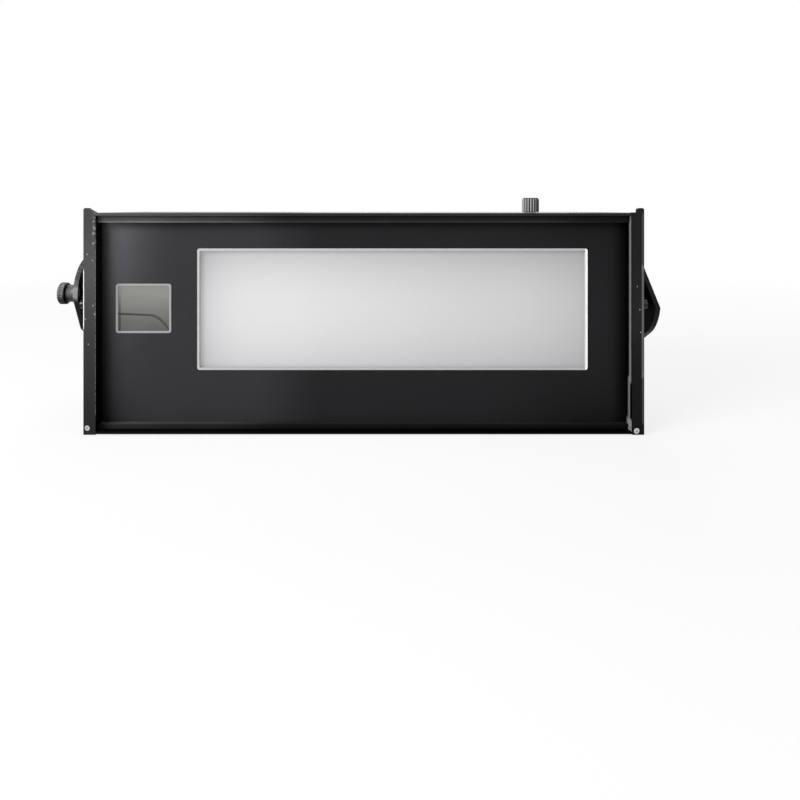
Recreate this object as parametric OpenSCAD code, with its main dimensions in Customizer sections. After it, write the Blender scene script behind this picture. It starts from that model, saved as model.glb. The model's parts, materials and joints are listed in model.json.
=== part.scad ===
// Radiographic film viewer: a flat black light box between two thick cheeks.
// A U-shaped bail stand swings on both cheeks and a knurled knob clamps it.
// Sizes are millimetres. Positions are worked out from the middle of the width,
// the cheeks' front faces and the table, and placed about the footprint's middle last.

/* [Housing] */
// Width across the outer faces of the two cheeks
housing_w = 460; // [440:5:520]
// Depth of the cheeks, front to back
housing_d = 150; // [145:5:200]
// Height of the cheeks' highest edge above the table
housing_h = 187; // [184:1:220]
// Thickness of one cheek
cheek_t = 10; // [8:0.5:12]
// Gap between the cheeks' lower edges and the table
cheek_gap = 1; // [0.6:0.1:1.2]
// Width of the raised nose at a cheek's upper front corner
cheek_lip_w = 5.5; // [4:0.5:6]
// Height of that nose above the strip beside it
cheek_step = 3.6; // [2.5:0.1:4]
// Depth of the nose, front to back
cheek_nose_d = 4; // [3:0.5:7]
// Rounding of the nose
cheek_round = 1.8; // [0.5:0.1:1.9]
// Thickness of the top cover
top_cover_t = 2.4; // [1.5:0.1:3]
// Distance from the cheeks' highest edge down to the top cover's face
top_drop = 4; // [3.6:0.1:6]
// Thickness of the bottom cover
bottom_cover_t = 2; // [1.5:0.1:2.5]
// Height of the bottom cover's underside above the table
bottom_gap = 1.4; // [1.2:0.1:3]
// Thickness of the rear panel
rear_t = 2.5; // [2:0.5:4]
// Side of the square bars that tie the cheeks together
bar_s = 10; // [9:0.5:12]

/* [Front] */
// Depth of the film recess, from the cheeks' front faces to the panel
recess_d = 13.5; // [12:0.5:18]
// Thickness of the front panel
panel_t = 3; // [2.5:0.5:4]
// Height of the rail above the film recess
top_rail_h = 5.6; // [4:0.1:7]
// Setback of that rail behind the cheeks' front faces
top_rail_back = 5; // [3:0.5:7]
// Height of the rail below the film recess
bottom_rail_h = 4; // [3:0.1:5]
// Setback of that rail behind the cheeks' front faces
bottom_rail_back = 8; // [5:0.5:9]
// Width of the clear viewing window
window_w = 324; // [300:2:330]
// Height of the clear viewing window
window_h = 98.2; // [90:0.2:104]
// Distance of the window's middle to the right of the middle of the width
window_x = 24; // [20:1:26]
// Share of the free height between the tie bars that lies below the light box
window_up_share = 0.722; // [0.6:0.001:0.85]
// Width of the pale border round the window
window_border = 1.9; // [1:0.1:3]
// How far the pale borders stand proud of the panel
border_proud = 0.5; // [0.2:0.1:1]
// Width of the readout, over its border
readout_w = 46.5; // [40:0.5:50]
// Height of the readout, over its border
readout_h = 41.4; // [36:0.2:44]
// Distance of the readout's middle to the left of the middle of the width
readout_x = 185; // [182:1:188]
// Height of the readout's middle above the table
readout_z = 102.7; // [98:0.1:106]
// Width of the readout's border
readout_border = 1.7; // [1:0.1:2.5]
// Corner radius of the readout
readout_r = 2.2; // [2:0.1:4]

/* [Light engine] */
// Thickness of the opal diffuser
diffuser_t = 3; // [2:0.5:4]
// Lap of the diffuser and the light box behind the window's edge
box_lap = 7; // [5:0.5:8]
// Depth of the light box
box_d = 48; // [36:2:50]
// Wall of the light box
box_wall = 1.5; // [1:0.25:2]
// Thickness of the lamp board
led_board_t = 1.6; // [1:0.2:2]
// Lamps along the width of the board
led_columns = 14; // [8:1:16]
// Lamps along the height of the board
led_rows = 4; // [3:1:5]
// Side of one lamp
led_s = 5; // [3:0.5:6]
// Height of one lamp
led_t = 1.3; // [0.8:0.1:2]
// Thickness of the heat sink's base
sink_base_t = 4; // [3:0.5:6]
// Depth of the heat sink's fins
fin_d = 22; // [15:1:26]
// Thickness of one fin
fin_t = 1.6; // [1.2:0.1:2]
// Number of fins
fin_count = 26; // [16:1:30]

/* [Stand bail] */
// Distance of the bail's pivot behind the cheeks' front faces
pivot_y = 55; // [52:1:62]
// Height of the bail's pivot above the table
pivot_z = 110; // [106:1:116]
// Gap between the swinging crossbar and the housing's farthest corner
bail_clear = 7.4; // [5:0.1:20]
// Width of the crossbar and of the arms where they meet it
arm_w = 30; // [24:1:36]
// Thickness of that bar
arm_t = 4; // [3:0.5:5]
// Gap between the left cheek and the left arm
left_gap = 14; // [12:0.5:20]
// Gap between the right cheek and the right arm
right_gap = 18; // [12:0.5:22]
// Radius of the left arm's round ear
left_ear_r = 34; // [30:0.5:38]
// Radius of the right arm's round ear
right_ear_r = 36.5; // [30:0.5:38]
// Distance of the left ear's straight side from the pivot
left_flat = 29.8; // [24:0.2:29.8]
// Distance of the right ear's straight side from the pivot
right_flat = 19; // [18:0.5:28]
// Outer radius of the bends between the arms and the crossbar
bend_r = 10; // [8:0.5:14]
// Gap between the parked bail and the table
park_gap = 2.3; // [1:0.1:6]
// Radius of the pivot stud and screw
stud_r = 4; // [3:0.5:5]
// Radius of the bosses between the cheeks and the arms
boss_r = 12; // [10:0.5:16]
// Distance between the two bolt holes in the crossbar
bolt_spacing = 240; // [160:10:300]
// Radius of the bolt holes in the crossbar
bolt_hole_r = 3.3; // [2.6:0.1:4.5]

/* [Clamp knob] */
// Radius of the knurled head
clamp_head_r = 9.8; // [9:0.2:12]
// Thickness of the knurled head
clamp_head_t = 6.6; // [5:0.2:9]
// Radius of the knob's neck
clamp_neck_r = 7.5; // [6.5:0.1:8]
// Length of the knob's neck
clamp_neck_l = 17; // [12:0.5:20]

/* [Brightness knob] */
// Radius of the knob over its ribs
knob_r = 7.4; // [7.2:0.1:9]
// Height of the knob
knob_h = 12.4; // [11:0.2:16]
// Number of ribs
knob_ribs = 18; // [16:1:28]
// Distance of the knob to the right of the middle of the width
knob_x = 145.7; // [120:0.1:160]
// Distance of the knob behind the cheeks' front faces
knob_y = 36; // [35.6:0.1:46]

/* [Rear fittings] */
// Side of one cooling fan
fan_s = 50; // [44:1:52]
// Depth of one cooling fan
fan_d = 15; // [14:1:18]
// Distance between the two fans' centres
fan_pitch = 90; // [80:1:110]
// Distance of the mains inlet to the left of the middle of the width
inlet_x = 182; // [178:1:188]
// Height of the mains inlet above the table
inlet_z = 72; // [70:1:76]
// Height of the rocker switch above the table
switch_z = 124; // [118:1:134]
// Distance of the probe jack to the left of the middle of the width
jack_x = 132; // [125:1:140]
// Radius of the plug that the probe jack takes
jack_plug_r = 3.175; // [2.5:0.025:3.5]

/* [Hidden] */
$fn = 64;

// Shared fits and overruns
touch = 0.05;
slack = 0.3;
over = 1;
screw_r = 1.5;
screw_head_r = 2.9;
screw_head_h = 2;
hole_r = screw_r + touch;
bite = 6;

// Places that several pieces share
arm_len = norm([housing_d - pivot_y, pivot_z - cheek_gap]) + bail_clear;
half_w = housing_w / 2;
inner_x = half_w - cheek_t;
roof_z = housing_h - top_drop;
ceiling_z = roof_z - top_cover_t;
floor_z = bottom_gap + bottom_cover_t;
panel_back = recess_d + panel_t;
rear_face = housing_d - rear_t;
bar_top_z = ceiling_z - bar_s / 2;
bar_low_z = floor_z + bar_s / 2;
front_bar_y = panel_back + bar_s / 2;
rear_bar_y = rear_face - bar_s / 2;
cover_screw_shares = [-0.78, 0, 0.78];
cover_screw_x = cover_screw_shares * inner_x;

// Light engine, between the tie bars and front to back
box_w = window_w + 2 * box_lap;
box_h = window_h + 2 * box_lap;
free_h = bar_top_z - bar_low_z - bar_s - box_h;
box_z = bar_low_z + bar_s / 2 + window_up_share * free_h;
window_z = box_z + box_h / 2;
box_y = panel_back + diffuser_t;
led_board_y = box_y + box_d;
sink_y = led_board_y + led_board_t;
fin_y = sink_y + sink_base_t;

// Bail
left_arm_x = half_w + left_gap + arm_t;
right_arm_x = half_w + right_gap + arm_t;
left_flat_dir = 209;
right_flat_dir = 134;
pad_t = 3;
pad_l = 60;
pad_inset = 12;
washer_t = 1.6;
clamp_base = left_arm_x + slack;
clamp_start = clamp_base + washer_t;
clamp_end = clamp_start + clamp_neck_l + clamp_head_t;
bail_reach = arm_len + arm_t + pad_t;
bail_corner = norm([bail_reach, arm_w / 2]);
park_angle = asin((pivot_z - park_gap) / bail_corner) - atan(arm_w / 2 / bail_reach);
back_y = pivot_y + bail_reach * cos(park_angle) + arm_w / 2 * sin(park_angle);

// Middle of the whole footprint, where the origin is
middle_x = (right_arm_x - clamp_end) / 2;
middle_y = back_y / 2;

// Basic shapes

// A box from its lowest corner
module block(low, size) {
    translate(low) cube(size);
}

// A rectangle about its middle with round corners
module round_rect(w, h, r) {
    square([w - 2 * r, h], center = true);
    square([w, h - 2 * r], center = true);
    for (x = [-1, 1], y = [-1, 1])
        translate([x * (w / 2 - r), y * (h / 2 - r)]) circle(r);
}

// An outline seen from the front, t thick from y towards the back
module from_front(y, t) {
    translate([0, y + t, 0]) rotate([90, 0, 0]) linear_extrude(t) children();
}

// An outline seen from the right, t thick from x towards the right
module from_side(x, t) {
    translate([x, 0, 0]) rotate([90, 0, 90]) linear_extrude(t) children();
}

// Rods along the width and along the depth, from a starting point
module rod_x(at, r, l) {
    translate(at) rotate([0, 90, 0]) cylinder(r = r, h = l);
}
module rod_y(at, r, l) {
    translate(at) rotate([-90, 0, 0]) cylinder(r = r, h = l);
}

// The right side as it is, the left side as its mirror image
module on_side(side) {
    mirror([side < 0 ? 1 : 0, 0, 0]) children();
}

// A pan-head screw pointing down, its head on the level of zero
module pan_screw(l) {
    difference() {
        union() {
            cylinder(r = screw_head_r, h = screw_head_h);
            translate([0, 0, -l]) cylinder(r = screw_r, h = l);
        }
        translate([0, 0, screw_head_h / 2])
            cylinder(r = screw_head_r / 2, h = screw_head_h, $fn = 6);
    }
}

// A countersunk screw pointing down, its head flush with the level of zero
module flat_screw(l) {
    difference() {
        union() {
            translate([0, 0, -screw_head_h])
                cylinder(r1 = screw_r, r2 = screw_head_r, h = screw_head_h);
            translate([0, 0, -l]) cylinder(r = screw_r, h = l - screw_head_h);
        }
        translate([0, 0, -screw_head_h / 2])
            cylinder(r = screw_head_r / 3, h = screw_head_h, $fn = 6);
    }
}

// The hole that a countersunk screw leaves, with its clearance
module flat_hole(l) {
    translate([0, 0, -screw_head_h])
        cylinder(r1 = hole_r, r2 = screw_head_r + touch, h = screw_head_h);
    translate([0, 0, -l]) cylinder(r = hole_r, h = l);
    cylinder(r = screw_head_r + touch, h = over);
}

// Screw places

// Side screws enter the ends of the four tie bars
side_screw_yz = [
    [front_bar_y, bar_top_z], [front_bar_y, bar_low_z],
    [rear_bar_y, bar_top_z], [rear_bar_y, bar_low_z]
];
side_screw_l = cheek_t + bite;
// One more with a taller head stands halfway up the front of each cheek
mid_screw_y = 8;
mid_screw_z = 107;
mid_head_r = 3.6;
mid_head_h = 5;
mid_screw_l = 7;
// A socket screw sits in the lower end of each cheek's front face
left_front_inset = 2.9;
left_front_z = 6.3;
left_front_r = 2.2;
right_front_inset = 6;
right_front_z = 4;
right_front_r = 2.4;
front_screw_l = 12;
front_screw_sink = 0.6;

module side_screw_holes() {
    for (p = side_screw_yz)
        rod_x([inner_x - bite - over, p[0], p[1]], hole_r, cheek_t + bite + 2 * over);
}

module cover_holes_top() {
    for (x = cover_screw_x, y = [front_bar_y, rear_bar_y])
        translate([x, y, roof_z]) flat_hole(top_cover_t + bite);
}

module cover_holes_bottom() {
    for (x = cover_screw_x, y = [front_bar_y, rear_bar_y])
        translate([x, y, bottom_gap]) mirror([0, 0, 1]) flat_hole(bottom_cover_t + bite);
}

// Rear screws miss the cover screws by half the bar's width
rear_screw_shares = [-1, -0.33, 0.33, 1];
rear_screw_x = rear_screw_shares * (inner_x - 2 * bar_s);
module rear_holes() {
    for (x = rear_screw_x, z = [bar_top_z, bar_low_z])
        rod_y([x, rear_face - bite, z], hole_r, bite + rear_t + over);
}

// Rail screws run from behind the front bars through the panel into the rails
rail_screw_shares = [-0.5, 0.5];
rail_screw_x = rail_screw_shares * inner_x;
rail_screw_z = [ceiling_z - top_rail_h / 2, floor_z + bottom_rail_h / 2];
rail_bite = 3;
rail_screw_r = 0.8;
rail_head_r = 1.8;
module rail_holes() {
    for (x = rail_screw_x, z = rail_screw_z)
        rod_y([x, recess_d - rail_bite, z], rail_screw_r + touch,
            rail_bite + panel_t + bar_s + over);
}

// Housing

// The nose: stepped beside the film recess, or sloped down to it
module nose_outline(sloped) {
    lip_x = half_w - cheek_lip_w;
    step_z = housing_h - cheek_step;
    translate([inner_x, cheek_gap]) square([cheek_t, step_z - cheek_gap]);
    translate([lip_x, cheek_gap]) square([cheek_lip_w, housing_h - cheek_round - cheek_gap]);
    translate([lip_x + cheek_round, cheek_gap])
        square([cheek_lip_w - 2 * cheek_round, housing_h - cheek_gap]);
    for (x = [lip_x + cheek_round, half_w - cheek_round])
        translate([x, housing_h - cheek_round]) circle(cheek_round);
    if (sloped)
        polygon([[inner_x, step_z], [lip_x + cheek_round, step_z],
            [lip_x + cheek_round, housing_h]]);
}

module cheek(front_inset, front_z, front_r, sloped) {
    difference() {
        union() {
            from_front(0, cheek_nose_d) nose_outline(sloped);
            block([inner_x, cheek_nose_d / 2, cheek_gap],
                [cheek_t, housing_d - cheek_nose_d / 2, roof_z - cheek_gap]);
        }
        side_screw_holes();
        rod_x([inner_x - over, pivot_y, pivot_z], stud_r + touch, cheek_t + 2 * over);
        rod_x([half_w - mid_screw_l, mid_screw_y, mid_screw_z], hole_r, mid_screw_l + over);
        rod_y([half_w - front_inset, -over, front_z], front_r + touch, front_screw_l + over);
    }
}

module left_cheek() {
    color("#2b2c2e") on_side(-1)
        cheek(left_front_inset, left_front_z, left_front_r, true);
}

module right_cheek() {
    color("#2b2c2e") cheek(right_front_inset, right_front_z, right_front_r, false);
}

lip_r = top_cover_t / 2;
dimmer_x = knob_x;
bushing_r = 3.5;
module top_cover() {
    color("#232426") difference() {
        union() {
            block([-inner_x, lip_r, ceiling_z], [2 * inner_x, housing_d - lip_r, top_cover_t]);
            rod_x([-inner_x, lip_r, ceiling_z + lip_r], lip_r, 2 * inner_x);
        }
        cover_holes_top();
        translate([dimmer_x, knob_y, ceiling_z - over])
            cylinder(r = bushing_r + touch, h = top_cover_t + 2 * over);
    }
}

// Air inlet slots under the heat sink
slot_w = 4;
slot_l = 50;
slot_pitch = 9;
slot_count = 10;
foot_r = 8;
foot_inset_x = 24;
foot_inset_y = 34;
foot_stem_r = 3;
foot_barb = 0.6;
foot_xy = [for (x = [-1, 1], y = [foot_inset_y, housing_d - foot_inset_y])
    [x * (inner_x - foot_inset_x), y]];
slot_y = sink_y;
module bottom_cover() {
    color("#1f2022") difference() {
        block([-inner_x, 0, bottom_gap], [2 * inner_x, housing_d, bottom_cover_t]);
        cover_holes_bottom();
        for (p = foot_xy)
            translate([p[0], p[1], bottom_gap - over])
                cylinder(r = foot_stem_r, h = bottom_cover_t + 2 * over);
        for (i = [0 : slot_count - 1])
            block([window_x + (i - (slot_count - 1) / 2) * slot_pitch - slot_w / 2, slot_y,
                bottom_gap - over], [slot_w, slot_l, bottom_cover_t + 2 * over]);
        for (p = post_places) translate([p[0], p[1], bottom_gap - over])
            cylinder(r = hole_r, h = bottom_cover_t + 2 * over);
    }
}

module foot(p) {
    translate([p[0], p[1], 0]) cylinder(r = foot_r, h = bottom_gap);
    translate([p[0], p[1], 0]) cylinder(r = foot_stem_r, h = floor_z + foot_barb);
    translate([p[0], p[1], floor_z])
        cylinder(r1 = foot_stem_r + foot_barb, r2 = foot_stem_r, h = 2 * foot_barb);
}

module feet() {
    color("#111111") for (p = foot_xy) foot(p);
}

// Rear panel and what sits in it
fan_x = [window_x - fan_pitch / 2, window_x + fan_pitch / 2];
fan_z = window_z;
fan_y = rear_face - fan_d;
fan_wall = 1.6;
fan_bore_r = fan_s / 2 - fan_wall;
fan_screw_inset = 5;
fan_screw_off = fan_s / 2 - fan_screw_inset;
fan_r = 3;
inlet_w = 27;
inlet_h = 31;
inlet_flange_w = 50;
inlet_flange_h = 36;
inlet_flange_t = 3;
inlet_d = 26;
inlet_screw_off = 20;
switch_w = 13;
switch_h = 19;
switch_flange = 2;
switch_flange_t = 2;
switch_d = 18;
jack_r = 4.5;
jack_flange_r = 6.5;
jack_flange_t = 3;
jack_l = 24;
jack_z = switch_z;
vent_w = 4;
vent_h = 44;
vent_pitch = 9;
vent_count = 7;
vent_inset = 28;
module rear_panel() {
    color("#26272a") difference() {
        block([-inner_x, rear_face, floor_z], [2 * inner_x, rear_t, ceiling_z - floor_z]);
        rear_holes();
        for (x = fan_x) {
            rod_y([x, rear_face - over, fan_z], fan_bore_r, rear_t + 2 * over);
            for (dx = [-1, 1], dz = [-1, 1])
                rod_y([x + dx * fan_screw_off, rear_face - over, fan_z + dz * fan_screw_off],
                    hole_r, rear_t + 2 * over);
        }
        block([-inlet_x - inlet_w / 2, rear_face - over, inlet_z - inlet_h / 2],
            [inlet_w, rear_t + 2 * over, inlet_h]);
        for (dx = [-1, 1])
            rod_y([-inlet_x + dx * inlet_screw_off, rear_face - over, inlet_z],
                hole_r, rear_t + 2 * over);
        block([-inlet_x - switch_w / 2, rear_face - over, switch_z - switch_h / 2],
            [switch_w, rear_t + 2 * over, switch_h]);
        rod_y([-jack_x, rear_face - over, jack_z], jack_r, rear_t + 2 * over);
        for (i = [0 : vent_count - 1])
            block([inner_x - vent_inset - i * vent_pitch - vent_w, rear_face - over,
                fan_z - vent_h / 2], [vent_w, rear_t + 2 * over, vent_h]);
    }
}

module tie_bar(y, z) {
    block([-inner_x, y - bar_s / 2, z - bar_s / 2], [2 * inner_x, bar_s, bar_s]);
}

module front_tie_bars() {
    color("#8d9094") difference() {
        for (z = [bar_top_z, bar_low_z]) tie_bar(front_bar_y, z);
        for (side = [-1, 1]) on_side(side) side_screw_holes();
        cover_holes_top();
        cover_holes_bottom();
        rail_holes();
    }
}

module rear_tie_bars() {
    color("#8d9094") difference() {
        for (z = [bar_top_z, bar_low_z]) tie_bar(rear_bar_y, z);
        for (side = [-1, 1]) on_side(side) side_screw_holes();
        cover_holes_top();
        cover_holes_bottom();
        rear_holes();
    }
}

rail_chamfer = 0.8;
module top_rail() {
    color("#242527") difference() {
        from_side(-inner_x, 2 * inner_x) polygon([
            [top_rail_back, ceiling_z],
            [recess_d, ceiling_z],
            [recess_d, ceiling_z - top_rail_h],
            [top_rail_back + rail_chamfer, ceiling_z - top_rail_h],
            [top_rail_back, ceiling_z - top_rail_h + rail_chamfer]
        ]);
        rail_holes();
    }
}

module bottom_rail() {
    color("#242527") difference() {
        from_side(-inner_x, 2 * inner_x) polygon([
            [bottom_rail_back, floor_z],
            [recess_d, floor_z],
            [recess_d, floor_z + bottom_rail_h],
            [bottom_rail_back + rail_chamfer, floor_z + bottom_rail_h],
            [bottom_rail_back, floor_z + bottom_rail_h - rail_chamfer]
        ]);
        rail_holes();
    }
}

// Front panel and its two windows
window_r = 2;
window_outer_w = window_w + 2 * window_border;
window_outer_h = window_h + 2 * window_border;
module front_panel() {
    color("#2e3033") difference() {
        block([-inner_x, recess_d, floor_z], [2 * inner_x, panel_t, ceiling_z - floor_z]);
        from_front(recess_d - over, panel_t + 2 * over) {
            translate([window_x, window_z]) round_rect(window_outer_w, window_outer_h, window_r);
            translate([-readout_x, readout_z]) round_rect(readout_w, readout_h, readout_r);
        }
        rail_holes();
    }
}

module border(w, h, r, edge) {
    difference() {
        round_rect(w, h, r);
        round_rect(w - 2 * edge, h - 2 * edge, r / 2);
    }
}

module window_frame() {
    color("#d9dbdd") translate([window_x, 0, window_z])
        from_front(recess_d - border_proud, panel_t + border_proud)
            border(window_outer_w, window_outer_h, window_r, window_border);
}

module opal_diffuser() {
    color("#f2f2f0") block([window_x - box_w / 2, panel_back, box_z],
        [box_w, diffuser_t, box_h]);
}

module readout_frame() {
    color("#b4b7ba") translate([-readout_x, 0, readout_z])
        from_front(recess_d - border_proud, panel_t + border_proud)
            border(readout_w, readout_h, readout_r, readout_border);
}

module readout_window() {
    color("#8a908a") translate([-readout_x, 0, readout_z]) from_front(recess_d, panel_t)
        round_rect(readout_w - 2 * readout_border, readout_h - 2 * readout_border, readout_r / 2);
}

// The display and its board hang on the back of the panel
display_w = readout_w + 3 * readout_border;
display_h = readout_h + 3 * readout_border;
display_t = 6;
board_t = 1.6;
display_gap = 5;
chip_s = 8;
chip_t = 1.5;
meter_board_y = panel_back + display_t + display_gap;
meter_post_x = display_w / 2 - bar_s / 3;
meter_board_h = display_h + 2 * bar_s;
meter_post_z = meter_board_h / 2 - bar_s / 2;
module display_module() {
    color("#1c2420") difference() {
        block([-readout_x - display_w / 2, panel_back, readout_z - display_h / 2],
            [display_w, display_t, display_h]);
        block([-readout_x - readout_w / 2 + 2 * readout_border, panel_back - over,
            readout_z - readout_h / 2 + 2 * readout_border],
            [readout_w - 4 * readout_border, over + chip_t, readout_h - 4 * readout_border]);
    }
}

module densitometer_board() {
    color("#1f6b3a") difference() {
        union() {
            block([-readout_x - display_w / 2, meter_board_y, readout_z - meter_board_h / 2],
                [display_w, board_t, meter_board_h]);
            for (dx = [-1, 1])
                block([-readout_x + dx * chip_s - chip_s / 2, meter_board_y + board_t,
                    readout_z - chip_s / 2], [chip_s, chip_t, chip_s]);
            block([-readout_x - chip_s, panel_back + display_t, readout_z - display_h / 2],
                [2 * chip_s, display_gap, chip_s / 2]);
        }
        for (dx = [-1, 1], dz = [-1, 1])
            rod_y([-readout_x + dx * meter_post_x, meter_board_y - over,
                readout_z + dz * meter_post_z], hole_r, board_t + 2 * over);
    }
}

// Light engine
module light_box() {
    color("#f4f4f4") difference() {
        block([window_x - box_w / 2, box_y, box_z], [box_w, box_d, box_h]);
        block([window_x - box_w / 2 + box_wall, box_y - over, box_z + box_wall],
            [box_w - 2 * box_wall, box_d + 2 * over, box_h - 2 * box_wall]);
    }
}

module led_board() {
    color("#e6e8ea") block([window_x - box_w / 2, led_board_y, box_z],
        [box_w, led_board_t, box_h]);
}

led_pitch_x = (box_w - 2 * box_wall) / led_columns;
led_pitch_z = (box_h - 2 * box_wall) / led_rows;
module led_lamps() {
    color("#f6e27a") for (i = [0 : led_columns - 1], k = [0 : led_rows - 1])
        block([window_x + (i - (led_columns - 1) / 2) * led_pitch_x - led_s / 2,
            led_board_y - led_t, window_z + (k - (led_rows - 1) / 2) * led_pitch_z - led_s / 2],
            [led_s, led_t, led_s]);
}

module heat_sink() {
    color("#b9bdc1") {
        block([window_x - box_w / 2, sink_y, box_z], [box_w, sink_base_t, box_h]);
        fin_pitch = (box_w - fin_t) / (fin_count - 1);
        for (i = [0 : fin_count - 1])
            block([window_x - box_w / 2 + i * fin_pitch, fin_y - touch, box_z],
                [fin_t, fin_d + touch, box_h]);
    }
}

// Power supply and driver board stand on posts on the bottom cover
post_h = 7;
post_r = 3;
post_inset = 6;
supply_w = 60;
supply_d = 74;
supply_h = 34;
supply_side = 8;
supply_back = 10.5;
supply_x = -inner_x + supply_side;
supply_y = rear_bar_y - bar_s / 2 - supply_back - supply_d;
driver_w = 100;
driver_d = 60;
driver_side = 42;
driver_back = 4;
driver_x = inner_x - driver_side - driver_w;
driver_y = rear_bar_y - bar_s / 2 - driver_back - driver_d;
board_z = floor_z + post_h;
function corners(x, y, w, d) = [for (i = [0, 1], k = [0, 1])
    [x + post_inset + i * (w - 2 * post_inset), y + post_inset + k * (d - 2 * post_inset)]];
supply_posts = corners(supply_x, supply_y, supply_w, supply_d);
driver_posts = corners(driver_x, driver_y, driver_w, driver_d);
post_places = concat(supply_posts, driver_posts);
terminal_d = 12;
terminal_h = 10;
terminal_count = 5;
terminal_w = supply_w * 2 / 3;
terminal_x = supply_x + (supply_w - terminal_w) / 2;
terminal_y = supply_y + supply_d - terminal_d;
terminal_z = board_z + board_t;
louvre_count = 6;
louvre_w = 3;
function terminal_at(i) = terminal_x + (i + 1 / 2) * terminal_w / terminal_count;
module power_supply() {
    color("#a9adb0") difference() {
        block([supply_x, supply_y, board_z], [supply_w, supply_d, supply_h]);
        block([supply_x - over, supply_y + supply_d - terminal_d, board_z + board_t],
            [supply_w + 2 * over, terminal_d + over, supply_h]);
        for (i = [1 : louvre_count])
            block([supply_x + i * supply_w / (louvre_count + 1) - louvre_w / 2,
                supply_y + terminal_d, board_z + supply_h - chip_t],
                [louvre_w, supply_d - 4 * terminal_d, chip_t + over]);
        for (p = supply_posts) translate([p[0], p[1], board_z - over])
            cylinder(r = hole_r, h = post_h + over);
    }
    color("#1b1b1b") difference() {
        block([terminal_x, terminal_y + touch, terminal_z],
            [terminal_w, terminal_d - 2 * touch, terminal_h]);
        for (i = [0 : terminal_count - 1])
            translate([terminal_at(i), terminal_y + terminal_d / 2, terminal_z + terminal_h / 2])
                cylinder(r = screw_head_r, h = terminal_h);
    }
}

// Its tall parts follow the height that is free under the light box
coil_r = 9;
coil_share = 0.37;
can_r = 5;
can_share = 0.49;
module driver_board() {
    color("#1f6b3a") difference() {
        union() {
            block([driver_x, driver_y, board_z], [driver_w, driver_d, board_t]);
            translate([driver_x + driver_w / 3, driver_y + driver_d / 2, board_z])
                cylinder(r = coil_r, h = board_t + coil_share * (box_z - board_z));
            for (i = [0 : 2])
                translate([driver_x + driver_w * 2 / 3, driver_y + driver_d / 4 * (i + 1), board_z])
                    cylinder(r = can_r, h = board_t + can_share * (box_z - board_z));
        }
        for (p = driver_posts) translate([p[0], p[1], board_z - over])
            cylinder(r = hole_r, h = board_t + 2 * over);
    }
}

module board_posts() {
    color("#c9b26a") {
        for (p = post_places) translate([p[0], p[1], 0]) {
            translate([0, 0, floor_z]) cylinder(r = post_r, h = post_h, $fn = 6);
            translate([0, 0, bottom_gap]) cylinder(r = screw_r, h = floor_z - bottom_gap + touch);
            translate([0, 0, board_z - touch]) cylinder(r = screw_r, h = board_t + touch);
        }
        for (dx = [-1, 1], dz = [-1, 1]) {
            place = [-readout_x + dx * meter_post_x, panel_back, readout_z + dz * meter_post_z];
            rod_y(place, screw_r, meter_board_y + board_t - panel_back);
            rod_y(place, post_r, meter_board_y - panel_back, $fn = 6);
        }
    }
}

// Cooling fans: the frame carries a fixed hub on four struts at its back
stator_r = 10;
stator_t = 3;
strut_w = 3;
bearing_r = 3.2;
bearing_l = 7;
fan_shaft_r = 1.5;
rotor_r = 11;
rotor_wall = 1.6;
blade_count = 7;
blade_t = 1.2;
blade_pitch = 38;
blade_tip_gap = 0.8;
module fan_ring() {
    difference() {
        round_rect(fan_s, fan_s, fan_r);
        circle(fan_bore_r);
        for (dx = [-1, 1], dz = [-1, 1])
            translate([dx * fan_screw_off, dz * fan_screw_off]) circle(hole_r);
    }
}

module fan_spider() {
    difference() {
        union() {
            circle(stator_r);
            for (a = [0, 90])
                rotate(a) square([2 * fan_bore_r + fan_wall, strut_w], center = true);
        }
        circle(fan_shaft_r + touch);
    }
}

module fan_frame(x) {
    translate([x, 0, fan_z]) {
        from_front(fan_y, fan_d - stator_t) fan_ring();
        from_front(rear_face - stator_t, stator_t) {
            fan_ring();
            fan_spider();
        }
        difference() {
            rod_y([0, rear_face - stator_t - bearing_l, 0], bearing_r, bearing_l);
            rod_y([0, rear_face - stator_t - bearing_l - over, 0], fan_shaft_r + touch,
                bearing_l + 2 * over);
        }
    }
}

module fan_frames() {
    color("#1a1a1b") for (x = fan_x) fan_frame(x);
}

module fan_rotor(x) {
    hub_l = fan_d - stator_t - 2 * blade_tip_gap;
    hub_y = fan_y + blade_tip_gap;
    translate([x, 0, fan_z]) {
        difference() {
            rod_y([0, hub_y, 0], rotor_r, hub_l);
            rod_y([0, hub_y + rotor_wall, 0], rotor_r - rotor_wall, hub_l);
        }
        rod_y([0, hub_y, 0], fan_shaft_r, hub_l + stator_t / 3);
        intersection() {
            difference() {
                rod_y([0, hub_y, 0], fan_bore_r - blade_tip_gap, hub_l);
                rod_y([0, hub_y - over, 0], rotor_r - rotor_wall / 2, hub_l + 2 * over);
            }
            for (i = [0 : blade_count - 1])
                rotate([0, i * 360 / blade_count, 0]) translate([0, hub_y + hub_l / 2, 0])
                    rotate([0, 0, blade_pitch])
                        block([-blade_t / 2, -fan_d, 0], [blade_t, 2 * fan_d, fan_s / 2]);
        }
    }
}

module left_fan_rotor() {
    color("#232324") fan_rotor(fan_x[0]);
}

module right_fan_rotor() {
    color("#232324") fan_rotor(fan_x[1]);
}

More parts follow.
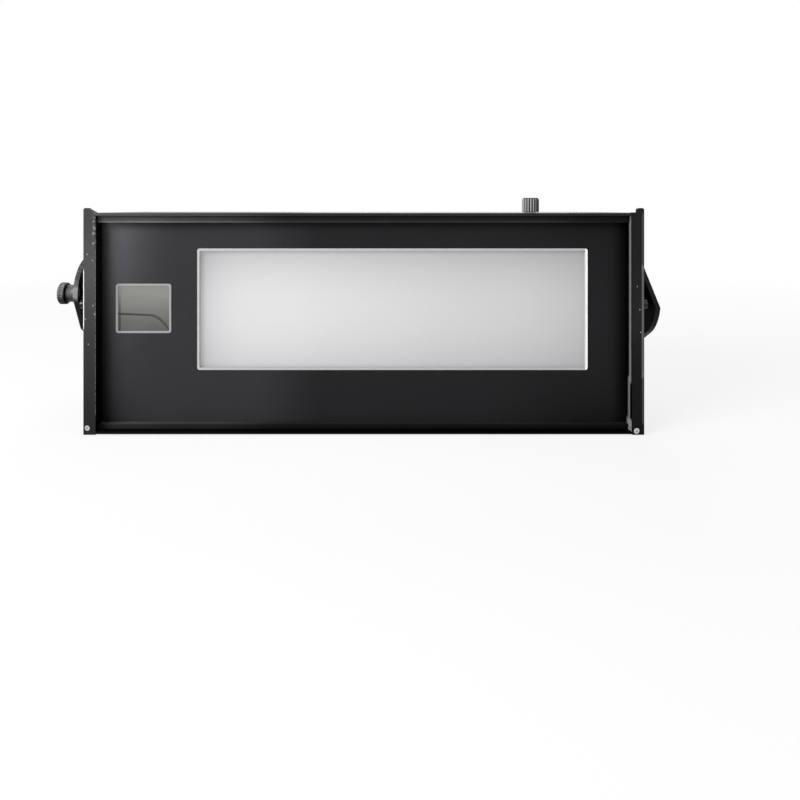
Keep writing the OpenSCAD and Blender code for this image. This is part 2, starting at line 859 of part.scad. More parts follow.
// Flat finger guards outside the rear panel
wire_r = 0.9;
guard_rings = 4;
guard_t = 2 * wire_r;
module guard_outline() {
    ring_pitch = fan_bore_r / guard_rings;
    difference() {
        union() {
            for (i = [1 : guard_rings]) difference() {
                circle(i * ring_pitch + wire_r / 2);
                circle(i * ring_pitch - wire_r / 2);
            }
            for (a = [45, 135])
                rotate(a) square([2 * sqrt(2) * fan_screw_off, guard_t], center = true);
            for (dx = [-1, 1], dz = [-1, 1])
                translate([dx * fan_screw_off, dz * fan_screw_off]) circle(screw_head_r);
        }
        for (dx = [-1, 1], dz = [-1, 1])
            translate([dx * fan_screw_off, dz * fan_screw_off]) circle(hole_r);
    }
}

module fan_guards() {
    color("#c4c7ca") for (x = fan_x) translate([x, 0, fan_z])
        from_front(housing_d, guard_t) guard_outline();
}

// Dimmer under the top cover
dimmer_r = 8.5;
dimmer_d = 9;
bushing_top = 4.5;
nut_t = 2;
nut_r = 5;
shaft_r = 3;
shaft_top = 9;
module dimmer_body() {
    color("#9aa0a4") translate([dimmer_x, knob_y, 0]) difference() {
        union() {
            translate([0, 0, ceiling_z - dimmer_d]) cylinder(r = dimmer_r, h = dimmer_d);
            translate([0, 0, ceiling_z - touch])
                cylinder(r = bushing_r, h = top_cover_t + bushing_top + touch);
        }
        translate([0, 0, ceiling_z - dimmer_d / 2])
            cylinder(r = shaft_r + touch, h = dimmer_d / 2 + top_cover_t + bushing_top + over);
    }
}

module dimmer_nut() {
    color("#c9ccd0") translate([dimmer_x, knob_y, roof_z]) difference() {
        cylinder(r = nut_r, h = nut_t, $fn = 6);
        translate([0, 0, -over]) cylinder(r = bushing_r + touch, h = nut_t + 2 * over);
    }
}

module dimmer_shaft() {
    color("#d0d3d6") translate([dimmer_x, knob_y, ceiling_z - dimmer_d / 2 + touch])
        cylinder(r = shaft_r, h = dimmer_d / 2 + top_cover_t + shaft_top - touch);
}

// Ribbed brightness knob, hollow below for the nut
knob_gap = 0.5;
knob_cap = 1.2;
knob_hollow_r = nut_r + slack;
knob_hollow_h = bushing_top + slack - knob_gap;
rib_r = PI * knob_r / knob_ribs / 2;
pointer_w = 0.8;
module knob_outline() {
    circle(knob_r - rib_r);
    for (i = [0 : knob_ribs - 1]) rotate(i * 360 / knob_ribs)
        translate([knob_r - rib_r, 0]) circle(rib_r);
}

module brightness_knob() {
    color("#202225") translate([knob_x, knob_y, roof_z + knob_gap]) difference() {
        union() {
            linear_extrude(knob_h - knob_cap) knob_outline();
            translate([0, 0, knob_h - knob_cap])
                cylinder(r1 = knob_r - rib_r, r2 = knob_r - rib_r - knob_cap, h = knob_cap);
        }
        translate([0, 0, -over]) cylinder(r = knob_hollow_r, h = knob_hollow_h + over);
        translate([0, 0, -over]) cylinder(r = shaft_r, h = shaft_top - knob_gap + over);
        block([0, -pointer_w / 2, knob_h - pointer_w / 2], [knob_r, pointer_w, pointer_w]);
    }
}

// Mains inlet with its socket above and a fuse drawer below
socket_w = 24;
socket_h = 16;
socket_d = 17;
socket_up = 6;
drawer_w = 20;
drawer_h = 7;
drawer_d = 20;
drawer_down = 10;
drawer_lip = 1.2;
pin_w = 2;
pin_h = 4;
pin_l = 12;
pin_off = 7;
inlet_back = housing_d - inlet_d;
inlet_front = housing_d + inlet_flange_t;
module mains_inlet() {
    color("#161617") translate([-inlet_x, 0, inlet_z]) difference() {
        union() {
            from_front(housing_d, inlet_flange_t)
                round_rect(inlet_flange_w, inlet_flange_h, 2 * inlet_flange_t);
            block([-inlet_w / 2, inlet_back, -inlet_h / 2], [inlet_w, inlet_d + over, inlet_h]);
        }
        block([-socket_w / 2, inlet_front - socket_d, socket_up - socket_h / 2],
            [socket_w, socket_d + over, socket_h]);
        block([-drawer_w / 2 - slack, inlet_front - drawer_d - slack,
            -drawer_down - drawer_h / 2 - slack],
            [drawer_w + 2 * slack, drawer_d + slack + over, drawer_h + 2 * slack]);
        for (dx = [-1, 1])
            rod_y([dx * inlet_screw_off, housing_d - over, 0], hole_r, inlet_flange_t + 2 * over);
    }
}

module inlet_pins() {
    color("#d8d2b8") translate([-inlet_x, inlet_front - socket_d, inlet_z + socket_up]) {
        for (p = [[-pin_off, -pin_h / 2], [pin_off, -pin_h / 2], [0, pin_h / 2]])
            block([p[0] - pin_w / 2, 0, p[1] - pin_h / 2], [pin_w, pin_l, pin_h]);
    }
}

fuse_r = 2.5;
fuse_l = 17;
module fuse_drawer() {
    color("#1c1c1d") translate([-inlet_x, 0, inlet_z - drawer_down]) difference() {
        union() {
            block([-drawer_w / 2, inlet_front - drawer_d, -drawer_h / 2],
                [drawer_w, drawer_d + drawer_lip, drawer_h]);
        }
        block([-fuse_l / 2 - touch, inlet_front - drawer_d + rotor_wall, -drawer_h / 2 + over],
            [fuse_l + 2 * touch, drawer_d - 3 * rotor_wall, drawer_h]);
    }
}

module fuses() {
    color("#c9c4a0") for (i = [0, 1])
        rod_x([-inlet_x - fuse_l / 2,
            inlet_front - drawer_d + rotor_wall + fuse_r + i * (2 * fuse_r + over) + over,
            inlet_z - drawer_down - drawer_h / 2 + over + fuse_r], fuse_r, fuse_l);
}

// Rocker switch: the rocker turns on a level axis and rests in its off position
rocker_side = 1.5;
rocker_end = 2;
rocker_w = switch_w - 2 * rocker_side;
rocker_h = switch_h - 2 * rocker_end;
rocker_t = 5;
rocker_tilt = 9;
rocker_proud = 2.4;
rocker_sink = 1;
rocker_y = housing_d - rocker_sink;
rocker_hollow = 9;
rocker_room = 1.1;
rocker_pin_r = 1;
rocker_pin_l = 1;
module switch_body() {
    color("#19191a") translate([-inlet_x, 0, switch_z]) difference() {
        union() {
            from_front(housing_d, switch_flange_t)
                round_rect(switch_w + 2 * switch_flange, switch_h + 2 * switch_flange, switch_flange);
            block([-switch_w / 2, housing_d - switch_d, -switch_h / 2],
                [switch_w, switch_d + over, switch_h]);
        }
        block([-rocker_w / 2 - slack, housing_d + switch_flange_t - rocker_hollow,
            -rocker_h / 2 - rocker_room],
            [rocker_w + 2 * slack, rocker_hollow + over, rocker_h + 2 * rocker_room]);
        rod_x([-rocker_w / 2 - rocker_pin_l - touch, rocker_y, 0], rocker_pin_r + touch,
            rocker_w + 2 * rocker_pin_l + 2 * touch);
    }
}

module switch_rocker() {
    top = rocker_h / 2 * cos(rocker_tilt);
    color("#2a2a2c") translate([-inlet_x, rocker_y, switch_z]) rotate([rocker_tilt, 0, 0]) {
        from_side(-rocker_w / 2, rocker_w) polygon([
            [-rocker_t / 2, -top],
            [-rocker_t / 2, top],
            [rocker_t / 2 + rocker_proud, top],
            [rocker_t / 2, 0],
            [rocker_t / 2 + rocker_proud, -top]
        ]);
        rod_x([-rocker_w / 2 - rocker_pin_l, 0, 0], rocker_pin_r,
            rocker_w + 2 * rocker_pin_l);
    }
}

jack_hole_r = jack_plug_r + touch;
jack_hole_l = 14;
module probe_jack() {
    color("#202022") translate([-jack_x, 0, jack_z]) difference() {
        union() {
            rod_y([0, housing_d - jack_l, 0], jack_r, jack_l + over);
            rod_y([0, housing_d, 0], jack_flange_r, jack_flange_t);
        }
        rod_y([0, housing_d + jack_flange_t - jack_hole_l, 0], jack_hole_r, jack_hole_l + over);
    }
}

// Bail pivots
boss_gap = slack;
module pivot_boss(gap) {
    difference() {
        rod_x([half_w, pivot_y, pivot_z], boss_r, gap - boss_gap);
        rod_x([half_w - over, pivot_y, pivot_z], stud_r + touch, gap + 2 * over);
    }
}

module left_pivot_boss() {
    color("#3a3b3d") on_side(-1) pivot_boss(left_gap);
}

module right_pivot_boss() {
    color("#3a3b3d") pivot_boss(right_gap);
}

module left_pivot_stud() {
    color("#b5b8bb") on_side(-1)
        rod_x([inner_x, pivot_y, pivot_z], stud_r, clamp_start + clamp_neck_l - inner_x);
}

pivot_head_r = 2 * stud_r;
pivot_head_t = arm_t / 2;
module right_pivot_screw() {
    color("#b5b8bb") difference() {
        union() {
            rod_x([inner_x, pivot_y, pivot_z], stud_r, right_arm_x - inner_x);
            rod_x([right_arm_x - pivot_head_t, pivot_y, pivot_z], pivot_head_r, pivot_head_t);
        }
        rod_x([right_arm_x - pivot_head_t / 2, pivot_y, pivot_z], stud_r / 2, over + pivot_head_t,
            $fn = 6);
    }
}

// The bail is drawn level, its arms pointing back from the pivot, and then parked
module parked() {
    translate([0, pivot_y, pivot_z]) rotate([-park_angle, 0, 0]) children();
}

// One arm's outline: a round ear with one straight side, and a bar whose edges leave
// the ear along its tangents and narrow towards the crossbar
module arm_outline(ear_r, flat, flat_dir) {
    far = arm_len + arm_t - bend_r;
    reach = norm([far, arm_w / 2]);
    lean = atan(arm_w / 2 / far) + acos(ear_r / reach);
    difference() {
        union() {
            circle(ear_r);
            polygon([
                [ear_r * cos(lean), -ear_r * sin(lean)],
                [far, -arm_w / 2],
                [far, arm_w / 2],
                [ear_r * cos(lean), ear_r * sin(lean)]
            ]);
        }
        rotate(flat_dir + park_angle) translate([flat, -ear_r]) square([ear_r, 2 * ear_r]);
    }
}

module left_arm() {
    color("#2b2c2e") parked() on_side(-1) difference() {
        from_side(left_arm_x - arm_t, arm_t) arm_outline(left_ear_r, left_flat, left_flat_dir);
        rod_x([half_w, 0, 0], stud_r + touch, left_arm_x);
    }
}

module right_arm() {
    color("#2b2c2e") parked() difference() {
        from_side(right_arm_x - arm_t, arm_t)
            arm_outline(right_ear_r, right_flat, right_flat_dir);
        rod_x([half_w, 0, 0], stud_r + touch, right_arm_x);
        rod_x([right_arm_x - pivot_head_t - slack, 0, 0], pivot_head_r + slack, arm_t);
    }
}

// A quarter bend in the corner of the bail
module bend() {
    difference() {
        circle(bend_r);
        circle(bend_r - arm_t);
        translate([-2 * bend_r, -bend_r]) square(2 * bend_r);
        translate([-bend_r, -2 * bend_r]) square(2 * bend_r);
    }
}

module crossbar() {
    straight = arm_len + arm_t - bend_r;
    color("#2b2c2e") parked() difference() {
        translate([0, 0, -arm_w / 2]) linear_extrude(arm_w) {
            translate([-left_arm_x + bend_r, arm_len])
                square([left_arm_x + right_arm_x - 2 * bend_r, arm_t]);
            translate([right_arm_x - bend_r, straight]) bend();
            translate([-left_arm_x + bend_r, straight]) mirror([1, 0]) bend();
        }
        for (side = [-1, 1])
            rod_y([side * bolt_spacing / 2, arm_len - over, 0], bolt_hole_r, arm_t + 2 * over);
    }
}

module bail_pads() {
    color("#141414") parked() for (side = [-1, 1])
        translate([side * (left_arm_x - bend_r - pad_inset - pad_l / 2), 0, 0])
            from_front(arm_len + arm_t, pad_t) round_rect(pad_l, arm_w, pad_t);
}

// Clamp knob on the left pivot stud
module clamp_washer() {
    color("#c2c5c8") on_side(-1) difference() {
        rod_x([clamp_base, pivot_y, pivot_z], clamp_neck_r + over, washer_t);
        rod_x([clamp_base - over, pivot_y, pivot_z], stud_r + touch, washer_t + 2 * over);
    }
}

clamp_groove_count = 30;
clamp_groove_r = 0.45;
clamp_chamfer = 1;
module clamp_knob() {
    head_x = clamp_start + clamp_neck_l;
    color("#2a2b2d") on_side(-1) difference() {
        union() {
            rod_x([clamp_start, pivot_y, pivot_z], clamp_neck_r, clamp_neck_l + touch);
            rod_x([head_x + clamp_chamfer, pivot_y, pivot_z], clamp_head_r,
                clamp_head_t - 2 * clamp_chamfer);
            translate([head_x, pivot_y, pivot_z]) rotate([0, 90, 0])
                cylinder(r1 = clamp_head_r - clamp_chamfer, r2 = clamp_head_r, h = clamp_chamfer);
            translate([clamp_end - clamp_chamfer, pivot_y, pivot_z]) rotate([0, 90, 0])
                cylinder(r1 = clamp_head_r, r2 = clamp_head_r - clamp_chamfer, h = clamp_chamfer);
        }
        rod_x([clamp_start - over, pivot_y, pivot_z], stud_r + touch,
            clamp_neck_l + over + slack);
        for (i = [0 : clamp_groove_count - 1])
            translate([head_x - over, pivot_y, pivot_z])
                rotate([i * 360 / clamp_groove_count, 0, 0])
                    rod_x([0, clamp_head_r, 0], clamp_groove_r, clamp_head_t + 2 * over, $fn = 16);
    }
}

// Fasteners
module side_screws() {
    color("#55585b") for (side = [-1, 1]) on_side(side) {
        for (p = side_screw_yz)
            translate([half_w, p[0], p[1]]) rotate([0, 90, 0]) pan_screw(side_screw_l);
        translate([half_w, mid_screw_y, mid_screw_z]) rotate([0, 90, 0]) {
            cylinder(r = mid_head_r, h = mid_head_h);
            translate([0, 0, -mid_screw_l]) cylinder(r = screw_r, h = mid_screw_l);
        }
    }
}

module socket_screw(r) {
    difference() {
        cylinder(r = r, h = front_screw_l - front_screw_sink);
        translate([0, 0, front_screw_l - front_screw_sink - r])
            cylinder(r = r / 2, h = 2 * r, $fn = 6);
    }
}

module front_screws() {
    color("#c8cacc") {
        translate([left_front_inset - half_w, front_screw_l, left_front_z])
            rotate([90, 0, 0]) socket_screw(left_front_r);
        translate([half_w - right_front_inset, front_screw_l, right_front_z])
            rotate([90, 0, 0]) socket_screw(right_front_r);
    }
}

module cover_screws() {
    color("#55585b") for (x = cover_screw_x, y = [front_bar_y, rear_bar_y]) {
        translate([x, y, roof_z]) flat_screw(top_cover_t + bite);
        translate([x, y, bottom_gap]) mirror([0, 0, 1]) flat_screw(bottom_cover_t + bite);
    }
}

module rear_screws() {
    color("#55585b") {
        for (x = rear_screw_x, z = [bar_top_z, bar_low_z])
            translate([x, housing_d, z]) rotate([-90, 0, 0]) pan_screw(rear_t + bite);
        for (x = fan_x, dx = [-1, 1], dz = [-1, 1])
            translate([x + dx * fan_screw_off, housing_d + guard_t, fan_z + dz * fan_screw_off])
                rotate([-90, 0, 0]) pan_screw(guard_t + rear_t + bite);
        for (dx = [-1, 1])
            translate([-inlet_x + dx * inlet_screw_off, inlet_front, inlet_z])
                rotate([-90, 0, 0]) pan_screw(inlet_flange_t + rear_t + over);
    }
}

module rail_screws() {
    color("#8a8d90") for (x = rail_screw_x, z = rail_screw_z) {
        rod_y([x, recess_d - rail_bite, z], rail_screw_r, rail_bite + panel_t + bar_s);
        rod_y([x, panel_back + bar_s, z], rail_head_r, rail_head_r);
    }
}

// Brackets under the light box
bracket_w = 30;
bracket_t = 1.5;
bracket_shares = [-0.3, 0.3];
bracket_flange = 12;
module engine_brackets() {
    bottom = box_z;
    top_y = box_y + box_d / 2;
    color("#a4a7aa") for (share = bracket_shares) {
        x = window_x + share * box_w - bracket_w / 2;
        block([x, top_y, floor_z], [bracket_w, bracket_t, bottom - floor_z]);
        block([x, top_y - bracket_flange, floor_z], [bracket_w, bracket_flange, bracket_t]);
        block([x, top_y - bracket_flange, bottom - bracket_t],
            [bracket_w, bracket_flange, bracket_t]);
    }
}

// Wires inside: mains to the supply, supply to driver, driver to lamps and to the dimmer
wire_outer = 1.4;
wire_bend = 1.5;
wire_lift = 10;
wire_side = 10;
wire_step = 4;
module wire_piece(a, b) {
    d = b - a;
    translate(a) rotate([0, acos(d[2] / norm(d)), atan2(d[1], d[0])])
        cylinder(r = wire_outer, h = norm(d));
}

module wire(points) {
    for (i = [1 : len(points) - 1]) wire_piece(points[i - 1], points[i]);
    for (i = [1 : len(points) - 2]) translate(points[i]) sphere(wire_bend);
}

module wiring() {
    y = terminal_y + terminal_d / 2;
    z = terminal_z + terminal_h / 2;
    high = terminal_z + terminal_h + 2 * wire_lift;
    board_top = board_z + board_t;
    side_x = window_x + box_w / 2 + wire_side;
    lamp_y = led_board_y + led_board_t / 2;
    pot_y = y + wire_step;
    pot_z = ceiling_z - dimmer_d / 2;
    color("#7a2f2a") {
        for (i = [1, 2])
            wire([
                [terminal_at(i), y, z],
                [terminal_at(i), y, inlet_z + (i * 2 - 3) * wire_lift],
                [terminal_at(i), inlet_back, inlet_z + (i * 2 - 3) * wire_lift]
            ]);
        for (i = [3, 4])
            wire([
                [terminal_at(i), y, z],
                [terminal_at(i), y, high - i * wire_step],
                [driver_x - i * wire_step + driver_w / 2, y, high - i * wire_step],
                [driver_x - i * wire_step + driver_w / 2, y, board_top]
            ]);
        wire([
            [driver_x + driver_w - wire_side, y, board_top],
            [driver_x + driver_w - wire_side, y, high],
            [side_x, y, high],
            [side_x, lamp_y, high],
            [side_x, lamp_y, window_z],
            [window_x + box_w / 2, lamp_y, window_z]
        ]);
        wire([
            [driver_x + driver_w - wire_side, pot_y, board_top],
            [driver_x + driver_w - wire_side, pot_y, high],
            [side_x, pot_y, high],
            [side_x, pot_y, pot_z],
            [side_x, knob_y, pot_z],
            [dimmer_x + dimmer_r, knob_y, pot_z]
        ]);
    }
}

module placed() {
    translate([-middle_x, -middle_y, 0]) children();
}

placed() left_cheek();
placed() right_cheek();
placed() top_cover();
placed() bottom_cover();
placed() rear_panel();
placed() front_tie_bars();
placed() rear_tie_bars();
placed() top_rail();
placed() bottom_rail();
placed() front_panel();
placed() window_frame();
placed() opal_diffuser();
placed() readout_frame();
placed() readout_window();
placed() display_module();
placed() densitometer_board();
placed() light_box();
placed() led_board();
placed() led_lamps();
placed() heat_sink();
placed() power_supply();
placed() driver_board();
placed() board_posts();
placed() fan_frames();
placed() left_fan_rotor();
placed() right_fan_rotor();
placed() fan_guards();
placed() dimmer_body();
placed() dimmer_nut();
placed() dimmer_shaft();
placed() brightness_knob();
placed() mains_inlet();
placed() inlet_pins();
placed() fuse_drawer();
placed() fuses();
placed() switch_body();
placed() switch_rocker();
placed() probe_jack();
placed() feet();
placed() left_pivot_boss();
placed() right_pivot_boss();
placed() left_pivot_stud();
placed() right_pivot_screw();
placed() left_arm();
placed() right_arm();
placed() crossbar();
placed() bail_pads();
placed() clamp_washer();
placed() clamp_knob();
placed() side_screws();
placed() front_screws();
placed() cover_screws();
placed() rear_screws();
placed() rail_screws();
placed() engine_brackets();
placed() wiring();
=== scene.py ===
"""Dresses the film viewer's solids: finishes, fine pieces, lamps, floor and camera.

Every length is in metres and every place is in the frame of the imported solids: +X to the
right, +Y from the front to the back and +Z up, with the feet on the level of zero.
"""

import json
import logging
import math
from dataclasses import dataclass
from enum import Enum
from typing import Callable, Sequence, Union

import bpy
import numpy as np
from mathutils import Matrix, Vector

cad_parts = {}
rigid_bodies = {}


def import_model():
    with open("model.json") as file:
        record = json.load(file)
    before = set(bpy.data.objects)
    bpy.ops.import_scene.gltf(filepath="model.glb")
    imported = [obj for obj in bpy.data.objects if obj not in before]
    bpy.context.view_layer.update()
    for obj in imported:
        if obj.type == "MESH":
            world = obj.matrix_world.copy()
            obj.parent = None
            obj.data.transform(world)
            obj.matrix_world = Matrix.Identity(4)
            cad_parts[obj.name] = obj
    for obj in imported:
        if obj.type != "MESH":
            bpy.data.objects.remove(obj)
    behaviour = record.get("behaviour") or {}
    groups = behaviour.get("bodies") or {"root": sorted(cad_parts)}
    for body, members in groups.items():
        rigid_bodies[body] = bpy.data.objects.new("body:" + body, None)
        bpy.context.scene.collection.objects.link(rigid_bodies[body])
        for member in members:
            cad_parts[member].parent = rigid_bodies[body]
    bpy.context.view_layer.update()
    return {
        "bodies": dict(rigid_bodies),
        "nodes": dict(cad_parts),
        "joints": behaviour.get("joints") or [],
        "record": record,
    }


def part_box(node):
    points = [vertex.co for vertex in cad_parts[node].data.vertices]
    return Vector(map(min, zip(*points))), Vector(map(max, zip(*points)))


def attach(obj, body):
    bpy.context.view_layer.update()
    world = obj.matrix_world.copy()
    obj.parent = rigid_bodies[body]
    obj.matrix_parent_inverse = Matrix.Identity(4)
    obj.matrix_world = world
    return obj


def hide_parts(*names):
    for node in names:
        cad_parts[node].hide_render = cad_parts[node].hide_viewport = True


LOG = logging.getLogger("film_viewer")

Colour = tuple[float, float, float]
Value = Union["Signal", float, tuple]
Triple = tuple[float, float, float]


def srgb(level: float) -> float:
    """Turns a display level from 0 to 255 into a linear one.

    Args:
        level: The level as a picture stores it.

    Returns:
        The linear value from 0 to 1.
    """
    share = level / 255
    return share / 12.92 if share <= 0.04045 else ((share + 0.055) / 1.055) ** 2.4


def grey(level: float, warmth: float = 0.0) -> Colour:
    """A grey of a display level, a little warm or cool.

    Args:
        level: The level as a picture stores it.
        warmth: How much red is added and blue taken away, as a share.

    Returns:
        The linear colour.
    """
    value = srgb(level)
    return (value * (1 + warmth), value, value * (1 - warmth))


def operators(operation: str) -> tuple[Callable, Callable]:
    """Makes an operator of the signals from a Math node's operation.

    Args:
        operation: The operation.

    Returns:
        The operator and its reflected form.
    """

    def plain(signal: "Signal", other: Value) -> "Signal":
        """The operation on the signal and the other value."""
        return signal.math(operation, signal, other)

    def reflected(signal: "Signal", other: Value) -> "Signal":
        """The operation on the other value and the signal."""
        return signal.math(operation, other, signal)

    return plain, reflected


class Signal:
    """A shader socket that takes part in plain arithmetic.

    Args:
        tree: The node tree that holds the socket.
        socket: The output socket.
    """

    def __init__(self, tree: bpy.types.NodeTree, socket: bpy.types.NodeSocket) -> None:
        """Keeps the tree and the socket."""
        self.tree = tree
        self.socket = socket

    def feed(self, value: Value, target: bpy.types.NodeSocket) -> None:
        """Links or writes a value into an input.

        Args:
            value: A signal to link, or a number or tuple to write.
            target: The input socket.
        """
        if isinstance(value, Signal):
            self.tree.links.new(value.socket, target)
        elif isinstance(value, tuple) and target.type == "RGBA" and len(value) == 3:
            target.default_value = (*value, 1.0)
        else:
            target.default_value = value

    def node(
        self,
        kind: str,
        output: Union[str, int] = 0,
        inputs: dict[Union[str, int], Value] | None = None,
        **settings: object,
    ) -> "Signal":
        """Makes any other node and returns one of its outputs.

        Args:
            kind: The node's type.
            output: The name or number of the output wanted.
            inputs: Values for its inputs, by name or number.
            **settings: Properties of the node.

        Returns:
            The output as a signal.
        """
        made = self.tree.nodes.new(kind)
        for name, setting in settings.items():
            setattr(made, name, setting)
        for name, value in (inputs or {}).items():
            self.feed(value, made.inputs[name])
        return Signal(self.tree, made.outputs[output])

    def math(self, operation: str, *values: Value) -> "Signal":
        """Makes one maths node from plain values and signals."""
        return self.node("ShaderNodeMath", 0, dict(enumerate(values)), operation=operation)

    __add__, __radd__ = operators("ADD")
    __sub__, __rsub__ = operators("SUBTRACT")
    __mul__, __rmul__ = operators("MULTIPLY")
    __truediv__, __rtruediv__ = operators("DIVIDE")

    def __pow__(self, other: Value) -> "Signal":
        """The power."""
        return self.math("POWER", self, other)

    def __abs__(self) -> "Signal":
        """The size without its sign."""
        return self.math("ABSOLUTE", self)

    def least(self, other: Value) -> "Signal":
        """The smaller of the two."""
        return self.math("MINIMUM", self, other)

    def most(self, other: Value) -> "Signal":
        """The larger of the two."""
        return self.math("MAXIMUM", self, other)

    def clamp(self) -> "Signal":
        """The value kept between 0 and 1."""
        return self.most(0.0).least(1.0)

    def part(self, axis: str) -> "Signal":
        """One of a vector's parts, by the letter X, Y or Z."""
        return self.node("ShaderNodeSeparateXYZ", axis, {0: self})

    def rise(self, start: float, end: float) -> "Signal":
        """A smooth step from 0 at start to 1 at end, either way round.

        Args:
            start: Where it is 0.
            end: Where it is 1.

        Returns:
            The step.
        """
        low, high = min(start, end), max(start, end)
        ends = (0.0, 1.0) if start < end else (1.0, 0.0)
        inputs = {0: self, 1: low, 2: high, 3: ends[0], 4: ends[1]}
        return self.node("ShaderNodeMapRange", 0, inputs, interpolation_type="SMOOTHSTEP")

    def scaled(self, scale: Triple) -> "Signal":
        """The vector stretched along each axis."""
        return self.node("ShaderNodeMapping", 0, {0: self, "Scale": scale}, vector_type="POINT")

    def noise(self, per_metre: float, detail: float = 3.0, rough: float = 0.55) -> "Signal":
        """Noise over this vector, about 0.5 on average, with finer layers that add detail."""
        inputs = {"Vector": self, "Scale": per_metre, "Detail": detail, "Roughness": rough}
        return self.node("ShaderNodeTexNoise", 0, inputs)

    def cells(self, per_metre: float, **settings: object) -> "Signal":
        """The distance to the nearest of scattered points, or to the edge of its cell."""
        inputs = {"Vector": self, "Scale": per_metre}
        return self.node("ShaderNodeTexVoronoi", "Distance", inputs, **settings)

    def mixed(self, first: Value, second: Value) -> "Signal":
        """A colour between two, with this signal as the share of the second."""
        return self.node("ShaderNodeMix", 2, {0: self, 6: first, 7: second}, data_type="RGBA")

    def of(self, colour: Value) -> "Signal":
        """A colour made lighter or darker by this signal."""
        inputs = {0: colour, "Scale": self}
        return self.node("ShaderNodeVectorMath", 0, inputs, operation="SCALE")

    def bump(self, height: float) -> "Signal":
        """A surface normal from this signal, whose 1 stands for the height in metres."""
        return self.node("ShaderNodeBump", 0, {"Height": self, "Distance": height})


def empty_tree(owner: bpy.types.Material | bpy.types.World) -> bpy.types.NodeTree:
    """Empties the node tree of a material or world.

    Args:
        owner: The material or world.

    Returns:
        The emptied tree.
    """
    owner.use_nodes = True
    owner.node_tree.nodes.clear()
    return owner.node_tree


def end_tree(tree: bpy.types.NodeTree, kind: str, surface: bpy.types.NodeSocket) -> None:
    """Ends a tree with an output node of a kind, which takes the surface."""
    tree.links.new(surface, tree.nodes.new(kind).inputs["Surface"])


@dataclass(frozen=True)
class EdgeLine:
    """A worn line on a piece, or a painted highlight line, along an upright edge of its front.

    Attributes:
        x: Where the edge is.
        depth: The depth of the front face.
        low: The lower end of the line.
        high: The upper end of the line.
        width: How wide the line reaches.
        amount: How bare the metal is, or how strong the painted highlight is, from 0 to 1.
        worn: The share of its length that is worn.
        deep: How far it reaches back from the front face.
        start: How far behind the front face it begins.
        colour: Its own colour, bare metal on a worn line and a painted highlight on a highlight
            line, or None for the finish's own.
        fade: How far the line fades out past its ends.
    """

    x: float
    depth: float
    low: float
    high: float
    width: float
    amount: float
    worn: float = 0.5
    deep: float = 0.0
    start: float = 0.0
    colour: Colour | None = None
    fade: float = 0.004

    def mask(self, place: Signal, ragged: Signal) -> Signal:
        """The share of bare metal, or of painted highlight, that this line shows.

        Args:
            place: The place on the piece.
            ragged: Noise that breaks up the line.

        Returns:
            The share.
        """
        across = abs(place.part("X") - self.x).rise(self.width, self.width * 0.4)
        reach = self.deep + self.width
        behind = place.part("Y") - self.depth
        back = behind.rise(reach * 1.3, reach * 0.7)
        if self.start:
            back = back * behind.rise(self.start - 0.0008, self.start)
        z = place.part("Z")
        along = z.rise(self.low - self.fade, self.low)
        along = along * z.rise(self.high + self.fade, self.high)
        broken = ragged.rise(0.75 - 0.5 * self.worn, 0.8 - 0.5 * self.worn)
        return across * back * along * broken * self.amount


@dataclass(frozen=True)
class Spot:
    """A small chip or mark at one place.

    Attributes:
        place: Its middle.
        size: Its half width.
        stretch: How many times taller than wide it is.
        colour: The colour of the bare metal in it, or None for the finish's own.
    """

    place: Triple
    size: float
    stretch: float = 1.0
    colour: Colour | None = None

    def mask(self, place: Signal, ragged: Signal) -> Signal:
        """The share of bare metal in the chip.

        Args:
            place: The place on the piece.
            ragged: Noise that roughens its rim.

        Returns:
            The share.
        """
        x, y, z = (place.part(axis) - middle for axis, middle in zip("XYZ", self.place))
        z = z / self.stretch
        far = (x * x + y * y + z * z) ** 0.5
        return (far + (ragged - 0.5) * self.size).rise(self.size * 1.1, self.size * 0.7)


class Light(Enum):
    """Which of the front's painted light and shade a finish takes up."""

    EVEN = "even"
    PANEL = "panel"
    LIP = "lip"
    RAIL = "rail"
    CHEEK = "cheek"


